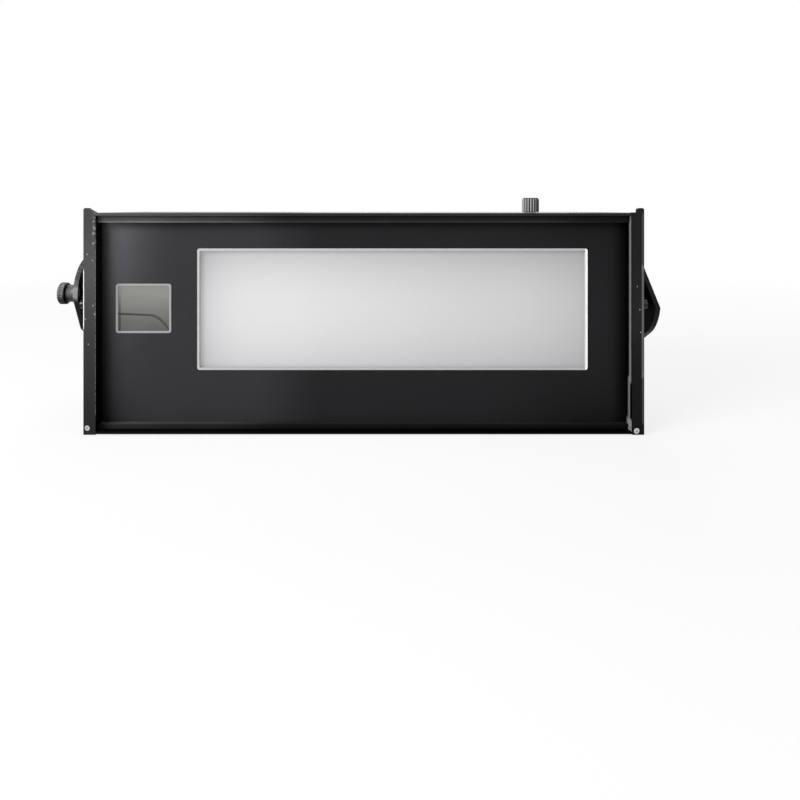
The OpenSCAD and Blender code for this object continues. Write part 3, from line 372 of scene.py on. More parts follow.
@dataclass(frozen=True)
class PaintedLight:
    """Painted light on the front's black coat, lighter towards the left, as a share of its
    colour.

    Attributes:
        middle: The middle of the panel's width.
        reach: Half the panel's width.
        tall: The height of the panel's upper edge.
        crest: The height at which a cheek's painted light is strongest.
        even: The painted light's share in the panel's middle, left and right of where it falls.
        groove: The height of the painted shadow under the rail, over the panel.
        patch: Where the panel's painted light patch begins, and how wide it is.
        patch_light: How much lighter the painted light patch is at its top.
        lip_falls: Along the cover's lip, where each fall of the painted light starts and ends,
            and its size.
        rail_falls: The same along the rails.
    """

    middle: float = 0.01075
    reach: float = 0.22
    tall: float = 0.18
    crest: float = 0.14
    even: tuple[float, float] = (0.62, 0.32)
    groove: float = 0.175
    patch: tuple[float, float] = (-0.138, 0.0646)
    patch_light: float = 2.7
    lip_falls: tuple[Triple, ...] = (
        (-0.19, -0.15, 0.16), (-0.125, -0.05, 0.56), (0.12, 0.215, 0.08),
    )
    rail_falls: tuple[Triple, ...] = (
        (-0.18, -0.12, 0.6), (-0.12, -0.05, 0.68), (0.13, 0.225, 0.2),
    )

    def falling(self, place: Signal, share: float, falls: Sequence[Triple]) -> Signal:
        """The painted light's share along a lip or rail, which falls in steps from left to
        right.

        Args:
            place: The place on the piece.
            share: The share at the left end.
            falls: Where each fall starts and ends, and its size.

        Returns:
            The share.
        """
        for start, end, size in falls:
            share = share - place.part("X").rise(start, end) * size
        return share

    def panel(self, place: Signal) -> Signal:
        """The painted light and shade on the panel: a painted light patch in its upper left
        corner.

        The middle is even, the left end lightens upwards, and both ends and the band under the
        rail carry painted shadow.

        Args:
            place: The place on the panel.

        Returns:
            The share.
        """
        x, z = place.part("X"), place.part("Z")
        up = z / self.tall
        # Painted light: the middle falls from left to right, and a painted light patch lightens
        # the left end upwards, with painted shade along the bottom.
        even = self.even[0] - x.rise(-0.09, -0.02) * (self.even[0] - self.even[1])
        start, width = self.patch
        end = ((start - x) / width).clamp() ** 2.4
        light = (up - 0.15).most(0.0) ** 1.6 * self.patch_light - up.rise(0.25, 0.0) * 0.3
        # Painted shadow beside both cheeks and under the rail, and painted shade at the right
        # end's top and bottom.
        left = (x - self.middle).rise(-0.2195, -0.2125) * 0.7 + 0.3
        right = (x - self.middle).rise(self.reach, self.reach - 0.014) * 0.8 + 0.2
        tall = abs(up - 0.55) * 2.0
        far = 1.0 - x.rise(0.1, 0.21) * tall * tall * 0.5
        groove = z.rise(self.groove + 0.0006, self.groove - 0.0006) * 0.9 + 0.1
        return (even + end * light) * left * right * far * groove

    def cheek(self, place: Signal) -> Signal:
        """The painted light on a cheek: lighter in its upper half and lightest at its crest.

        Args:
            place: The place on the cheek.

        Returns:
            The share.
        """
        z = place.part("Z")
        near = abs(z - self.crest).rise(0.055, 0.0)
        return (z.rise(0.0, 0.12) * 0.62 + 0.38) * (near * 0.46 + 0.76)


@dataclass(frozen=True)
class Finish:
    """What every finish has in common.

    Attributes:
        colour: The main colour.
        roughness: How matt it is.
        metallic: 1 for bare metal.
        specular: How strongly a coat or plastic mirrors.
    """

    colour: Colour
    roughness: float = 0.5
    metallic: float = 0.0
    specular: float = 0.5

    def build(self, name: str) -> bpy.types.Material:
        """Makes the material.

        Args:
            name: The material's name.

        Returns:
            The material.
        """
        made = bpy.data.materials.new(name)
        tree = empty_tree(made)
        shader = tree.nodes.new("ShaderNodeBsdfPrincipled")
        end_tree(tree, "ShaderNodeOutputMaterial", shader.outputs[0])
        made.diffuse_color = (*self.colour, 1.0)
        place = Signal(tree, tree.nodes.new("ShaderNodeTexCoord").outputs["Object"])
        plain = {"Metallic": self.metallic, "Specular IOR Level": self.specular}
        for socket, value in (plain | self.inputs(place)).items():
            place.feed(value, shader.inputs[socket])
        return made

    def inputs(self, place: Signal) -> dict[str, Value]:
        """The shader's inputs by name, worked out from the place on the piece."""
        raise NotImplementedError


@dataclass(frozen=True)
class SatinPaint(Finish):
    """Black anodised or painted metal with fine grain, scuffs, worn edges and painted light and
    shade.

    Attributes:
        mottle: How much the colour varies in broad patches.
        grain: The height of the fine relief.
        scuffs: How many light scuffs there are, from 0 to 1.
        scuff_colour: Their colour.
        bare: The colour of bare metal.
        marks: Worn edges, painted highlight lines and single chips.
        light: Which painted light and shade the front takes up.
        rim: The colour of the scratched edges of a sheet that stands upright.
        rim_low: The level above which those edges are scratched.
        painted_shade_side: 1 or -1 for the side along X whose face gets a painted shade that
            makes it nearly black, or 0.
        crest: The height at which its painted light is strongest, on a cheek.
        above: The share of its colour on faces that look up, on a lip or rail: painted light
            and shade.
        below: The share on edges that look down, on a lip or rail: a painted highlight.
    """

    mottle: float = 0.15
    grain: float = 0.00004
    scuffs: float = 0.0
    scuff_colour: Colour = grey(90)
    bare: Colour = grey(150)
    marks: tuple["EdgeLine | Spot", ...] = ()
    light: Light = Light.EVEN
    rim: Colour | None = None
    rim_low: float = 0.0
    painted_shade_side: int = 0
    crest: float = 0.14
    above: float = 0.5
    below: float = 1.0

    def shade(self, place: Signal, facing: Signal) -> Signal:
        """The share of the colour at a place: mottle, with painted light and shade on top.

        Args:
            place: The place on the piece.
            facing: The way that the surface faces.

        Returns:
            The share.
        """
        broad = (place.noise(22, 3) - 0.5) * (2 * self.mottle)
        share = broad + (place.noise(900, 2) - 0.5) * 0.25 + 1.0
        # Painted light and shade: the front's light falls off to the right, and the lips' and
        # rails' up-looking faces and down-looking edges get painted light.
        painted_light = PaintedLight(crest=self.crest)
        if self.light is Light.PANEL:
            share = share * painted_light.panel(place)
        elif self.light in (Light.LIP, Light.RAIL):
            ends = (1.0, painted_light.lip_falls) if self.light is Light.LIP else (1.6, painted_light.rail_falls)
            along = painted_light.falling(place, *ends)
            ahead = facing.part("Y").rise(-0.1, -0.6)
            under = facing.part("Z").rise(-0.2, -0.7) * (self.below - 1.0) + 1.0
            share = share * along * (ahead * under + (1.0 - ahead) * self.above)
        elif self.light is Light.CHEEK:
            share = share * painted_light.cheek(place)
        # A painted shade that makes the side's inner face nearly black.
        if self.painted_shade_side:
            share = share * (1.0 - (facing.part("X") * self.painted_shade_side).rise(0.5, 0.9) * 0.95)
        return share

    def inputs(self, place: Signal) -> dict[str, Value]:
        """The paint with its scuffs, bare places, painted highlights and painted shade.

        Args:
            place: The place on the piece.

        Returns:
            The shader's inputs by name.
        """
        facing = place.node("ShaderNodeTexCoord", "Normal")
        ragged = place.noise(420, 4, 0.7)
        share = self.shade(place, facing)
        colour = share.of(self.colour)
        if self.rim is not None:
            edge = abs(facing.part("X")).rise(0.7, 0.3)
            edge = edge * place.part("Z").rise(self.rim_low - 0.001, self.rim_low + 0.001)
            worn = edge * (ragged.rise(0.38, 0.62) * 0.75 + 0.25)
            colour = worn.mixed(colour, self.rim)
        if self.scuffs:
            drawn = place.scaled((1.0, 1.0, 0.16)).noise(700, 2)
            where = place.noise(30, 2).rise(0.5, 0.7)
            scuff = drawn.rise(0.72 - 0.12 * self.scuffs, 0.8 - 0.1 * self.scuffs) * where
            colour = (scuff * 0.6).mixed(colour, self.scuff_colour)
        bare = share * 0.0
        # Each mark is worn metal, a chip or a painted highlight line with its own colour.
        for mark in self.marks:
            mask = mark.mask(place, ragged)
            colour = mask.mixed(colour, mark.colour or self.bare)
            bare = bare.most(mask)
        rough = (place.noise(60, 3) - 0.5) * 0.18 + self.roughness - bare * 0.15
        height = place.noise(1400, 3) - bare * 0.8
        return {"Base Color": colour, "Roughness": rough.clamp(),
                "Normal": height.bump(self.grain)}


@dataclass(frozen=True)
class BareMetal(Finish):
    """Milled, extruded or turned metal with fine lines along one direction.

    Attributes:
        lines: The stretch of the fine lines along X, Y and Z.
        relief: The height of the lines.
        tarnish: How much the colour varies.
    """

    metallic: float = 1.0
    lines: Triple = (0.05, 1.0, 1.0)
    relief: float = 0.00002
    tarnish: float = 0.12

    def share(self, place: Signal) -> Signal:
        """The share of the colour at a place: a little tarnished."""
        return (place.noise(45, 3) - 0.5) * (2 * self.tarnish) + 1.0

    def inputs(self, place: Signal) -> dict[str, Value]:
        """The metal with its fine lines.

        Args:
            place: The place on the piece.

        Returns:
            The shader's inputs by name.
        """
        drawn = place.scaled(self.lines).noise(1500, 3)
        cloud = place.noise(45, 3)
        colour = ((drawn - 0.5) * 0.2 + self.share(place)).of(self.colour)
        rough = (drawn - 0.5) * 0.25 + (cloud - 0.5) * 0.15 + self.roughness
        return {"Base Color": colour, "Roughness": rough.clamp(),
                "Normal": drawn.bump(self.relief)}


@dataclass(frozen=True)
class Moulding(Finish):
    """Moulded plastic or rubber with a fine pebbled skin.

    Attributes:
        pebble: Pebbles to the metre.
        relief: Their height.
        dust: How much pale dust lies in the colour.
        coat: A glossy skin, from 0 to 1.
    """

    pebble: float = 1800
    relief: float = 0.00004
    dust: float = 0.06
    coat: float = 0.0

    def share(self, place: Signal) -> Signal:
        """The share of the colour at a place: a little cloudy."""
        return (place.noise(90, 4) - 0.5) * (4 * self.dust) + 1.0

    def inputs(self, place: Signal) -> dict[str, Value]:
        """The plastic with its dust and pebbles.

        Args:
            place: The place on the piece.

        Returns:
            The shader's inputs by name.
        """
        cloud = place.noise(90, 4)
        colour = self.share(place).of(self.colour)
        return {
            "Base Color": (cloud.rise(0.5, 0.75) * self.dust).mixed(colour, grey(150)),
            "Roughness": ((cloud - 0.5) * 0.2 + self.roughness).clamp(),
            "Normal": place.cells(self.pebble).bump(self.relief),
            "Coat Weight": self.coat,
            "Coat Roughness": 0.12,
        }


@dataclass(frozen=True)
class BoardLacquer(Finish):
    """A circuit board: green lacquer over copper tracks and pads."""

    def inputs(self, place: Signal) -> dict[str, Value]:
        """The lacquer over tracks and pads.

        Args:
            place: The place on the board.

        Returns:
            The shader's inputs by name.
        """
        brick = place.cells(260.0, distance="CHEBYCHEV", feature="DISTANCE_TO_EDGE")
        track = brick.rise(0.06, 0.03)
        pad = place.cells(330.0).rise(0.16, 0.12)
        light = tuple(min(1.0, part * 1.9) for part in self.colour)
        colour = (track * 0.7).mixed(self.colour, light)
        return {
            "Base Color": (pad * 0.8).mixed(colour, grey(190, 0.08)),
            "Roughness": (place.noise(150, 2) * 0.2 + self.roughness - 0.1).clamp(),
            "Normal": (track + pad).bump(0.00006),
        }


@dataclass(frozen=True)
class Pane(Finish):
    """An upright pane's finish.

    Attributes:
        box: Its lowest and highest corner.
    """

    box: tuple[Vector, ...] = ()

    def shares(self, place: Signal) -> tuple[Signal, Signal]:
        """How far a place lies across and up the pane.

        Args:
            place: The place on the pane.

        Returns:
            The share of its width and the share of its height.
        """
        low, high = self.box
        across = (place.part("X") - low.x) / (high.x - low.x)
        return across, (place.part("Z") - low.z) / (high.z - low.z)


@dataclass(frozen=True)
class OpalGlow(Pane):
    """The opal window, lit from behind: brightest left of its middle.

    Attributes:
        tint: The colour of its light.
        edge_tint: The colour of its light along the upper and lower edges.
        bright_share: Where it is brightest, as a share of its width.
        peak: The light at its brightest.
        right_fall: How much darker it is at the right end.
        corner_fall: How much darker still close to that end.
        left_fall: How much darker it is at the left end.
    """

    tint: Colour = (1.0, 1.0, 1.0)
    edge_tint: Colour = (0.98, 0.985, 1.04)
    bright_share: float = 0.236
    peak: float = 0.515
    right_fall: float = 0.23
    corner_fall: float = 0.09
    left_fall: float = 0.28

    def inputs(self, place: Signal) -> dict[str, Value]:
        """The glow, falling off towards the rim.

        Args:
            place: The place on the window.

        Returns:
            The shader's inputs by name.
        """
        across, up = self.shares(place)
        right = (across - self.bright_share).most(0.0) / (1 - self.bright_share)
        left = (self.bright_share - across).most(0.0) / self.bright_share
        level = 1.0 - right * self.right_fall - right.rise(0.78, 1.1) * self.corner_fall
        level = level - left ** 4.0 * self.left_fall
        far = abs(up - 0.5) * 2.0
        level = level * (1.0 - far ** 2.0 * (up.rise(0.3, 0.7) * 0.09 + 0.2))
        ends = across.least(1.0 - across).rise(0.0, 0.02) * 0.08 + 0.92
        ends = ends * (up.least(1.0 - up).rise(0.0, 0.06) * 0.08 + 0.92)
        level = level * ends * ((place.noise(14, 2) - 0.5) * 0.03 + 1.0)
        rim = far.rise(0.5, 1.0).most(across.rise(0.12, 0.0))
        cool = rim.mixed(self.tint, self.edge_tint)
        cloth = place.noise(700, 2)
        return {
            "Emission Color": (level * self.peak).of(cool),
            "Emission Strength": 1.0,
            # The base colour follows the glow's level too: painted light.
            "Base Color": (level * 0.9 + cloth * 0.1).of(self.colour),
            "Roughness": (cloth * 0.1 + self.roughness).clamp(),
        }


@dataclass(frozen=True)
class ReadoutGlass(Pane):
    """The readout's tinted window: paler above, with a painted reflection as soft dark streaks
    and a painted shadow of the frame at its left side.

    Attributes:
        top: The colour of its upper end.
        foot: The colour of its lower end.
        reflection_streak: The colour of the painted reflection's dark streaks.
        glow: How strongly it is lit from behind.
        streak_up: The share of the height at which the long streak starts.
        streak_bend: The share of the width at which it bends down.
    """

    top: Colour = (0.142, 0.145, 0.13)
    foot: Colour = (0.06, 0.0615, 0.058)
    reflection_streak: Colour = (0.012, 0.016, 0.017)
    glow: float = 0.35
    streak_up: float = 0.38
    streak_bend: float = 0.62

    def inputs(self, place: Signal) -> dict[str, Value]:
        """The tint, its painted reflection and the frame's painted shadow.

        Args:
            place: The place on the readout.

        Returns:
            The shader's inputs by name.
        """
        across, up = self.shares(place)
        drift = (place.noise(35, 2) - 0.5) * 0.25
        level = up.rise(-0.1, 1.0) + drift
        wedge = (up + across * 0.2).rise(0.9, 0.96) * 0.45
        colour = (level + wedge).clamp().mixed(self.foot, self.top)
        # A painted reflection: a long dark band that bends down, with a knot near its left end.
        bend = (across - self.streak_bend).most(0.0) / (1.0 - self.streak_bend)
        path = self.streak_up - across * 0.05 - bend ** 2.0 * 0.31
        thick = 0.036 + bend * 0.03
        reflection_streak = (abs(up - path) / thick).rise(1.0, 0.2) * (0.9 - across * 0.3)
        # A painted shadow of the frame along the left side.
        line = abs(across - 0.035).rise(0.022, 0.008) * up.rise(1.05, 0.2)
        reflection_knot = (abs(across - 0.07) / 0.05).rise(1.0, 0.2) * reflection_streak
        dark = reflection_streak.most(line * 0.8).most(reflection_knot)
        colour = dark.mixed(colour, self.reflection_streak)
        return {
            "Base Color": colour,
            "Emission Color": (1.0 - dark * 0.8).of(colour),
            "Emission Strength": self.glow,
            "Roughness": (drift * 0.2 + self.roughness).clamp(),
        }


def link_object(name: str, data: bpy.types.ID) -> bpy.types.Object:
    """Makes an object and links it to the scene.

    Args:
        name: The object's name.
        data: Its mesh, light or camera.

    Returns:
        The object.
    """
    made = bpy.data.objects.new(name, data)
    bpy.context.scene.collection.objects.link(made)
    return made


def mesh_object(
    name: str, points: np.ndarray, faces: Sequence[Sequence[int]], smooth: bool = True
) -> bpy.types.Object:
    """Makes an object from points and faces.

    Args:
        name: The object's name.
        points: One row of x, y and z for each point.
        faces: The corners of each face.
        smooth: Whether its shading is smooth.

    Returns:
        The object, linked to the scene.
    """
    mesh = bpy.data.meshes.new(name)
    mesh.from_pydata(points.tolist(), [], [list(map(int, face)) for face in faces])
    mesh.update()
    mesh.polygons.foreach_set("use_smooth", np.full(len(mesh.polygons), smooth))
    return link_object(name, mesh)


def grid_faces(rows: int, columns: int) -> np.ndarray:
    """The four-cornered faces of a grid of points whose last column joins the first.

    Args:
        rows: How many rows of points there are.
        columns: How many points a row has.

    Returns:
        One row of four corners for each face.
    """
    row = np.arange(rows - 1)[:, None] * columns
    column = np.arange(columns)[None, :]
    after = (column + 1) % columns
    ring = (row + column, row + after, row + columns + after, row + columns + column)
    return np.stack(ring, axis=-1).reshape(-1, 4)


def grooves(angle: np.ndarray, count: int, power: float) -> np.ndarray:
    """Grooves round a turned piece, as a share of their depth.

    The share is half of one minus the cosine of the angle times the count, which is 0 on
    each rib and 1 midway between two, and it is raised to the power.

    Args:
        angle: The angles round the axis.
        count: How many ribs there are.
        power: How narrow the grooves are.

    Returns:
        The share at each angle.
    """
    return (0.5 - 0.5 * np.cos(angle * count)) ** power


@dataclass
class Turning:
    """A turned piece: a profile carried round an axis, with ribs or knurls on it.

    Attributes:
        name: The piece's name.
        middle: A point on the axis, at height zero of the profile.
        along: The axis letter, X or Z.
        sense: 1 or -1, the way the profile's height runs.
        profile: Rows of radius and height.
        steps: Points round the piece.
        relief: Gives the radius change from angle, height and radius arrays.
    """

    name: str
    middle: Vector
    along: str
    sense: float
    profile: np.ndarray
    steps: int
    relief: Callable[[np.ndarray, np.ndarray, np.ndarray], np.ndarray]

    def build(self) -> bpy.types.Object:
        """Makes the piece: each profile point goes round the axis on its own circle.

        Returns:
            The object.
        """
        angle = np.linspace(0, 2 * math.pi, self.steps, endpoint=False)[None, :]
        radius = np.repeat(self.profile[:, :1], self.steps, axis=1)
        height = np.repeat(self.profile[:, 1:2], self.steps, axis=1)
        radius = radius + self.relief(np.broadcast_to(angle, radius.shape), height, radius)
        first, second = radius * np.cos(angle), radius * np.sin(angle) * self.sense
        tall = height * self.sense
        order = (tall, first, second) if self.along == "X" else (first, second, tall)
        points = np.stack(order, axis=-1).reshape(-1, 3) + np.array(self.middle)
        faces = grid_faces(len(self.profile), self.steps).tolist()
        faces.append(list(range(self.steps))[::-1])
        last = (len(self.profile) - 1) * self.steps
        faces.append(list(range(last, last + self.steps)))
        made = mesh_object(self.name, points, faces)
        for end in (1, 2):
            made.data.polygons[len(faces) - end].use_smooth = False
        return made


@dataclass
class Assembly:
    """A group of pieces that are made and dressed together.

    Attributes:
    """

    frame: dict

    def dress(self, finish: Finish, *nodes: str) -> None:
        """Gives one or more carried-over solids a shared finish.

        Args:
            finish: The finish.
            *nodes: The solids' names.
        """
        material = finish.build(f"{nodes[0]}_finish")
        for node in nodes:
            solid = self.frame["nodes"][node]
            solid.data.materials.clear()
            solid.data.materials.append(material)

    def soften(self, width: float, *nodes: str) -> None:
        """Rounds the sharp edges of solids a little.

        Args:
            width: The width of the rounding.
            *nodes: The solids' names.
        """
        for node in nodes:
            modifiers = self.frame["nodes"][node].modifiers
            modifiers.new("joined_corners", "WELD").merge_threshold = 1e-6
            bevel = modifiers.new("rounded_edges", "BEVEL")
            bevel.width = width
            bevel.segments = 2
            bevel.limit_method = "ANGLE"
            bevel.angle_limit = math.radians(40)

    def place(self, made: bpy.types.Object, finish: Finish, body: str, slot: str) -> None:
        """Finishes a new piece and hangs it on its body.

        Args:
            made: The piece.
            finish: Its finish.
            body: The body it rides on.
            slot: The record's material slot, which is not used.
        """
        made.data.materials.append(finish.build(f"{made.name}_finish"))
        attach(made, body)
        LOG.info("%s rides on %s", made.name, body)


@dataclass
class Housing(Assembly):
    """The cheeks, covers, rails, front panel and rear panel.

    Attributes:
        edge: The rounding of the thick pieces' edges.
        sheet_edge: The rounding of the sheet pieces' edges.
        chip: Half the width of a small chip.
        panel_colour: The front panel's colour.
    """

    edge: float = 0.0005
    sheet_edge: float = 0.0003
    chip: float = 0.00045
    panel_colour: Colour = (0.0405, 0.0396, 0.0436)

    def build(self) -> None:
        """Dresses the housing."""
        self.left_cheek()
        self.right_cheek()
        # The covers, rails and panel take up the front's painted light, which falls off to the
        # right, with painted highlights on down-looking edges and on the bottom rail's top
        # face.
        self.dress(SatinPaint(grey(56), 0.3, specular=0.14, mottle=0.1, light=Light.LIP,
                              below=2.6), "top_cover")
        self.dress(SatinPaint(grey(12), 0.6, specular=0.02, light=Light.LIP), "bottom_cover")
        self.dress(SatinPaint(grey(40), 0.45, specular=0.15, scuffs=0.25), "rear_panel")
        self.dress(SatinPaint(grey(56), 0.4, specular=0.05, mottle=0.2, light=Light.RAIL,
                              below=3.5), "top_rail")
        self.dress(SatinPaint(grey(34), 0.4, specular=0.05, mottle=0.2, light=Light.LIP,
                              above=4.2), "bottom_rail")
        self.dress(SatinPaint(self.panel_colour, 0.5, specular=0.04, mottle=0.08,
                              light=Light.PANEL), "front_panel")
        self.soften(self.edge, "left_cheek", "right_cheek")
        self.soften(self.sheet_edge, "top_rail", "bottom_rail", "bottom_cover")

    def chips(self, front: float, stretch: float, *places: tuple[float, float]) -> list[Spot]:
        """Small chips on a cheek's front face, each at a place along X and a height."""
        return [Spot((x, front, z), self.chip, stretch) for x, z in places]

    def left_cheek(self) -> None:
        """Dresses the left side plate: greyish, with a chipped inner edge and a painted
        highlight along its outer edge.
        """
        low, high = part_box("left_cheek")
        outer, inner, front = low.x, high.x, low.y
        wear_and_highlights = (
            EdgeLine(inner - 0.0013, front, 0.157, 0.184, 0.0019, 0.75, 0.42),
            EdgeLine(inner, front, 0.02, 0.16, 0.0006, 0.3, 0.6),
            # A painted highlight: a near-white line along the outer edge, beside the arm.
            EdgeLine(outer, front, 0.09, 0.134, 0.0007, 1.0, 1.6, colour=grey(245)),
        )
        chips = self.chips(
            front, 1.6, (inner - 0.0024, 0.144), (inner - 0.0021, 0.107),
            (inner - 0.0008, 0.0997), (outer + 0.0014, 0.0958), (outer + 0.004, 0.0752),
            (outer + 0.0032, 0.149),
        )
        # The cheek's painted light, and a painted shade that blacks its inner face.
        self.dress(SatinPaint(
            grey(58, -0.02), 0.42, specular=0.08, mottle=0.25, scuffs=0.3, light=Light.CHEEK,
            marks=(*wear_and_highlights, *chips), painted_shade_side=1,
        ), "left_cheek")

    def right_cheek(self) -> None:
        """Dresses the right side plate: darker than the left one as painted shade, with two
        worn lines and a bare corner.
        """
        low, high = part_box("right_cheek")
        outer, inner, front = high.x, low.x, low.y
        wear_and_highlights = (
            EdgeLine(inner, front, 0.045, 0.18, 0.0004, 0.6, 1.6, deep=0.0054, start=0.0022),
            EdgeLine(inner, front, 0.012, 0.045, 0.0004, 0.6, 1.2, deep=0.0074, start=0.0046),
            # The outer edge's lighter lines: partly worn metal and partly a painted highlight.
            EdgeLine(outer - 0.0012, front, 0.05, 0.138, 0.0012, 0.3, 1.0),
            EdgeLine(outer - 0.0012, front, 0.012, 0.05, 0.0009, 0.14, 1.0),
            EdgeLine(outer - 0.0012, front, 0.138, 0.18, 0.0012, 0.12, 1.0),
            EdgeLine(inner, front, 0.001, 0.0105, 0.0012, 0.9, 0.75, deep=0.009, start=0.0015),
        )
        chips = self.chips(front, 1.4, (outer - 0.0036, 0.1035), (outer - 0.0058, 0.1226),
                           (outer - 0.0028, 0.085))
        # Its darker grey than the left cheek's is painted shade; the cheek's painted light, and
        # a painted shade that blacks its inner face.
        self.dress(SatinPaint(
            grey(28), 0.42, specular=0.07, mottle=0.25, scuffs=0.2, light=Light.CHEEK,
            marks=(*wear_and_highlights, *chips), painted_shade_side=-1, crest=0.095,
        ), "right_cheek")


@dataclass(frozen=True)
class PaintedHighlightBorder(Moulding):
    """A pale border with a painted highlight on its right side.

    Attributes:
        edge: Where the painted highlight begins.
    """

    edge: float = 0.0

    def share(self, place: Signal) -> Signal:
        """The share of the colour at a place: far more on the right side, a painted highlight.
        """
        lit = place.part("X").rise(self.edge - 0.0004, self.edge)
        return super().share(place) * (lit * 1.2 + 1.0)


@dataclass
class Windows(Assembly):
    """The lit window and the readout with their pale borders."""

    def build(self) -> None:
        """Dresses the windows."""
        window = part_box("window_frame")
        smooth = {"specular": 0.3, "pebble": 2500, "relief": 0.00001, "dust": 0.02}
        # The window frame gets a painted highlight on its right side.
        edge = window[1].x - 0.0016
        self.dress(PaintedHighlightBorder(grey(166), 0.35, edge=edge, **smooth), "window_frame")
        self.dress(Moulding(grey(138), 0.35, **smooth), "readout_frame")
        self.dress(OpalGlow(grey(120), 0.35, specular=0.2, box=window), "opal_diffuser")
        self.dress(ReadoutGlass(grey(130), 0.2, specular=0.2, box=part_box("readout_window")),
                   "readout_window")


@dataclass(frozen=True)
class RibbedSkin(Moulding):
    """Moulded pale ribs, with painted shade in the grooves between them and on the right side.

    Attributes:
        centre: The knob's axis, across and back.
        groove: The radius of the grooves' floor.
        crest: The radius of the ribs.
    """

    centre: tuple[float, float] = (0.0, 0.0)
    groove: float = 0.0065
    crest: float = 0.0074

    def share(self, place: Signal) -> Signal:
        """The share of the colour: painted shade in the grooves and to the right.

        Args:
            place: The place on the piece.

        Returns:
            The share.
        """
        across, back = place.part("X") - self.centre[0], place.part("Y") - self.centre[1]
        far = (across * across + back * back) ** 0.5
        middle = (self.groove + self.crest) / 2
        # Painted shade: dark grooves, a half-dark crown and a darker right side.
        ribs = far.rise(self.groove + 0.0002, middle + 0.0002) * 0.97 + 0.03
        crown = far.rise(self.groove, self.groove - 0.0012)
        side = 1.0 - (across / self.crest).rise(-0.15, 0.7) * 0.78
        return ribs.most(crown * 0.5) * side * super().share(place)


@dataclass
class BrightnessKnob(Assembly):
    """The ribbed knob on the top, with its arched crown and index line.

    Attributes:
        ribs: How many ribs it has.
        rib_depth: How deep the grooves between them are.
        crown_in: How far the arched crown draws in.
        crown_down: How deep the crown is.
    """

    ribs: int = 18
    rib_depth: float = 0.0011
    crown_in: float = 0.0021
    crown_down: float = 0.0022

    def build(self) -> None:
        """Makes the knob and dresses what carries it."""
        low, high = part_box("brightness_knob")
        radius = min(high.x - low.x, high.y - low.y) / 2
        tall = high.z - low.z
        middle = Vector(((low.x + high.x) / 2, (low.y + high.y) / 2, low.z))
        turn = np.linspace(0, math.pi / 2, 8)
        crown = np.stack([radius - self.crown_in * (1 - np.cos(turn)),
                          tall - self.crown_down * (1 - np.sin(turn))], axis=1)
        inner = np.array([[radius * share, tall - drop] for share, drop in
                          ((0.66, 0.0), (0.62, 0.0003), (0.56, 0.0004), (0.02, 0.0002))])
        skirt = np.array([[radius - 0.0006, 0.0], [radius, 0.0005]])
        sides = np.stack([np.full(14, radius), np.linspace(0.0008, tall - 0.0024, 14)], axis=1)
        profile = np.concatenate([skirt, sides, crown, inner])

        def ribbed(angle: np.ndarray, height: np.ndarray, far: np.ndarray) -> np.ndarray:
            """The ribs' relief: grooves along the sides that fade over the crown.

            Args:
                angle: The angles round the axis.
                height: The heights, which change nothing here.
                far: The distances from the axis.

            Returns:
                What the radius changes by.
            """
            fade = np.clip((far - radius * 0.72) / (radius * 0.2), 0, 1)
            return -grooves(angle, self.ribs, 1.2) * self.rib_depth * fade

        knob = Turning("ribbed_knob", middle, "Z", 1.0, profile, self.ribs * 12, ribbed).build()
        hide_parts("brightness_knob")
        # Its skin paints shade into the grooves and on the right side.
        skin = RibbedSkin(grey(158), 0.36, specular=0.25, dust=0.04, crest=radius,
                          centre=(middle.x, middle.y), groove=radius - self.rib_depth)
        self.place(knob, skin, "dimmer", "knob_plastic")
        line = mesh_object(
            "knob_index",
            np.array([[middle.x + x, middle.y + y, high.z - 0.0002 + z]
                      for x in (radius * 0.2, radius * 0.62)
                      for y in (-0.0004, 0.0004) for z in (-0.0001, 0.00015)]),
            [(0, 1, 3, 2), (4, 6, 7, 5), (0, 4, 5, 1), (2, 3, 7, 6), (1, 5, 7, 3),
             (0, 2, 6, 4)],
            smooth=False,
        )
        self.place(line, Moulding(grey(205), 0.5, dust=0.05), "dimmer", "knob_plastic")
        self.dress(BareMetal(grey(190), 0.25, lines=(1.0, 1.0, 0.05)), "dimmer_body",
                   "dimmer_nut", "dimmer_shaft")


@dataclass
class Bail(Assembly):
    """The swinging stand: arms, crossbar, pads and pivots."""

    def build(self) -> None:
        """Dresses the bail."""
        low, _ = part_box("left_arm")
        nose = Spot((low.x + 0.0024, low.y + 0.001, 0.1145), 0.0044, 1.3)
        self.dress(SatinPaint(grey(20), 0.45, specular=0.08, mottle=0.3, scuffs=0.5,
                              rim=grey(84), rim_low=0.107, marks=(nose,), bare=grey(120)),
                   "left_arm")
        self.dress(SatinPaint(grey(16), 0.45, specular=0.06, mottle=0.3, scuffs=0.4,
                              rim=grey(42)), "right_arm")
        self.dress(SatinPaint(grey(26), 0.45, specular=0.1, mottle=0.3, scuffs=0.5), "crossbar")
        self.dress(Moulding(grey(34), 0.8, pebble=900, relief=0.0001, dust=0.12), "bail_pads",
                   "feet")
        turned = (1.0, 0.1, 0.1)
        self.dress(BareMetal(grey(70), 0.4, lines=(1.0, 0.05, 0.05)), "left_pivot_boss",
                   "right_pivot_boss")
        self.dress(BareMetal(grey(196), 0.22, lines=turned), "left_pivot_stud",
                   "right_pivot_screw")
        self.dress(BareMetal(grey(48), 0.35, lines=turned), "clamp_washer")


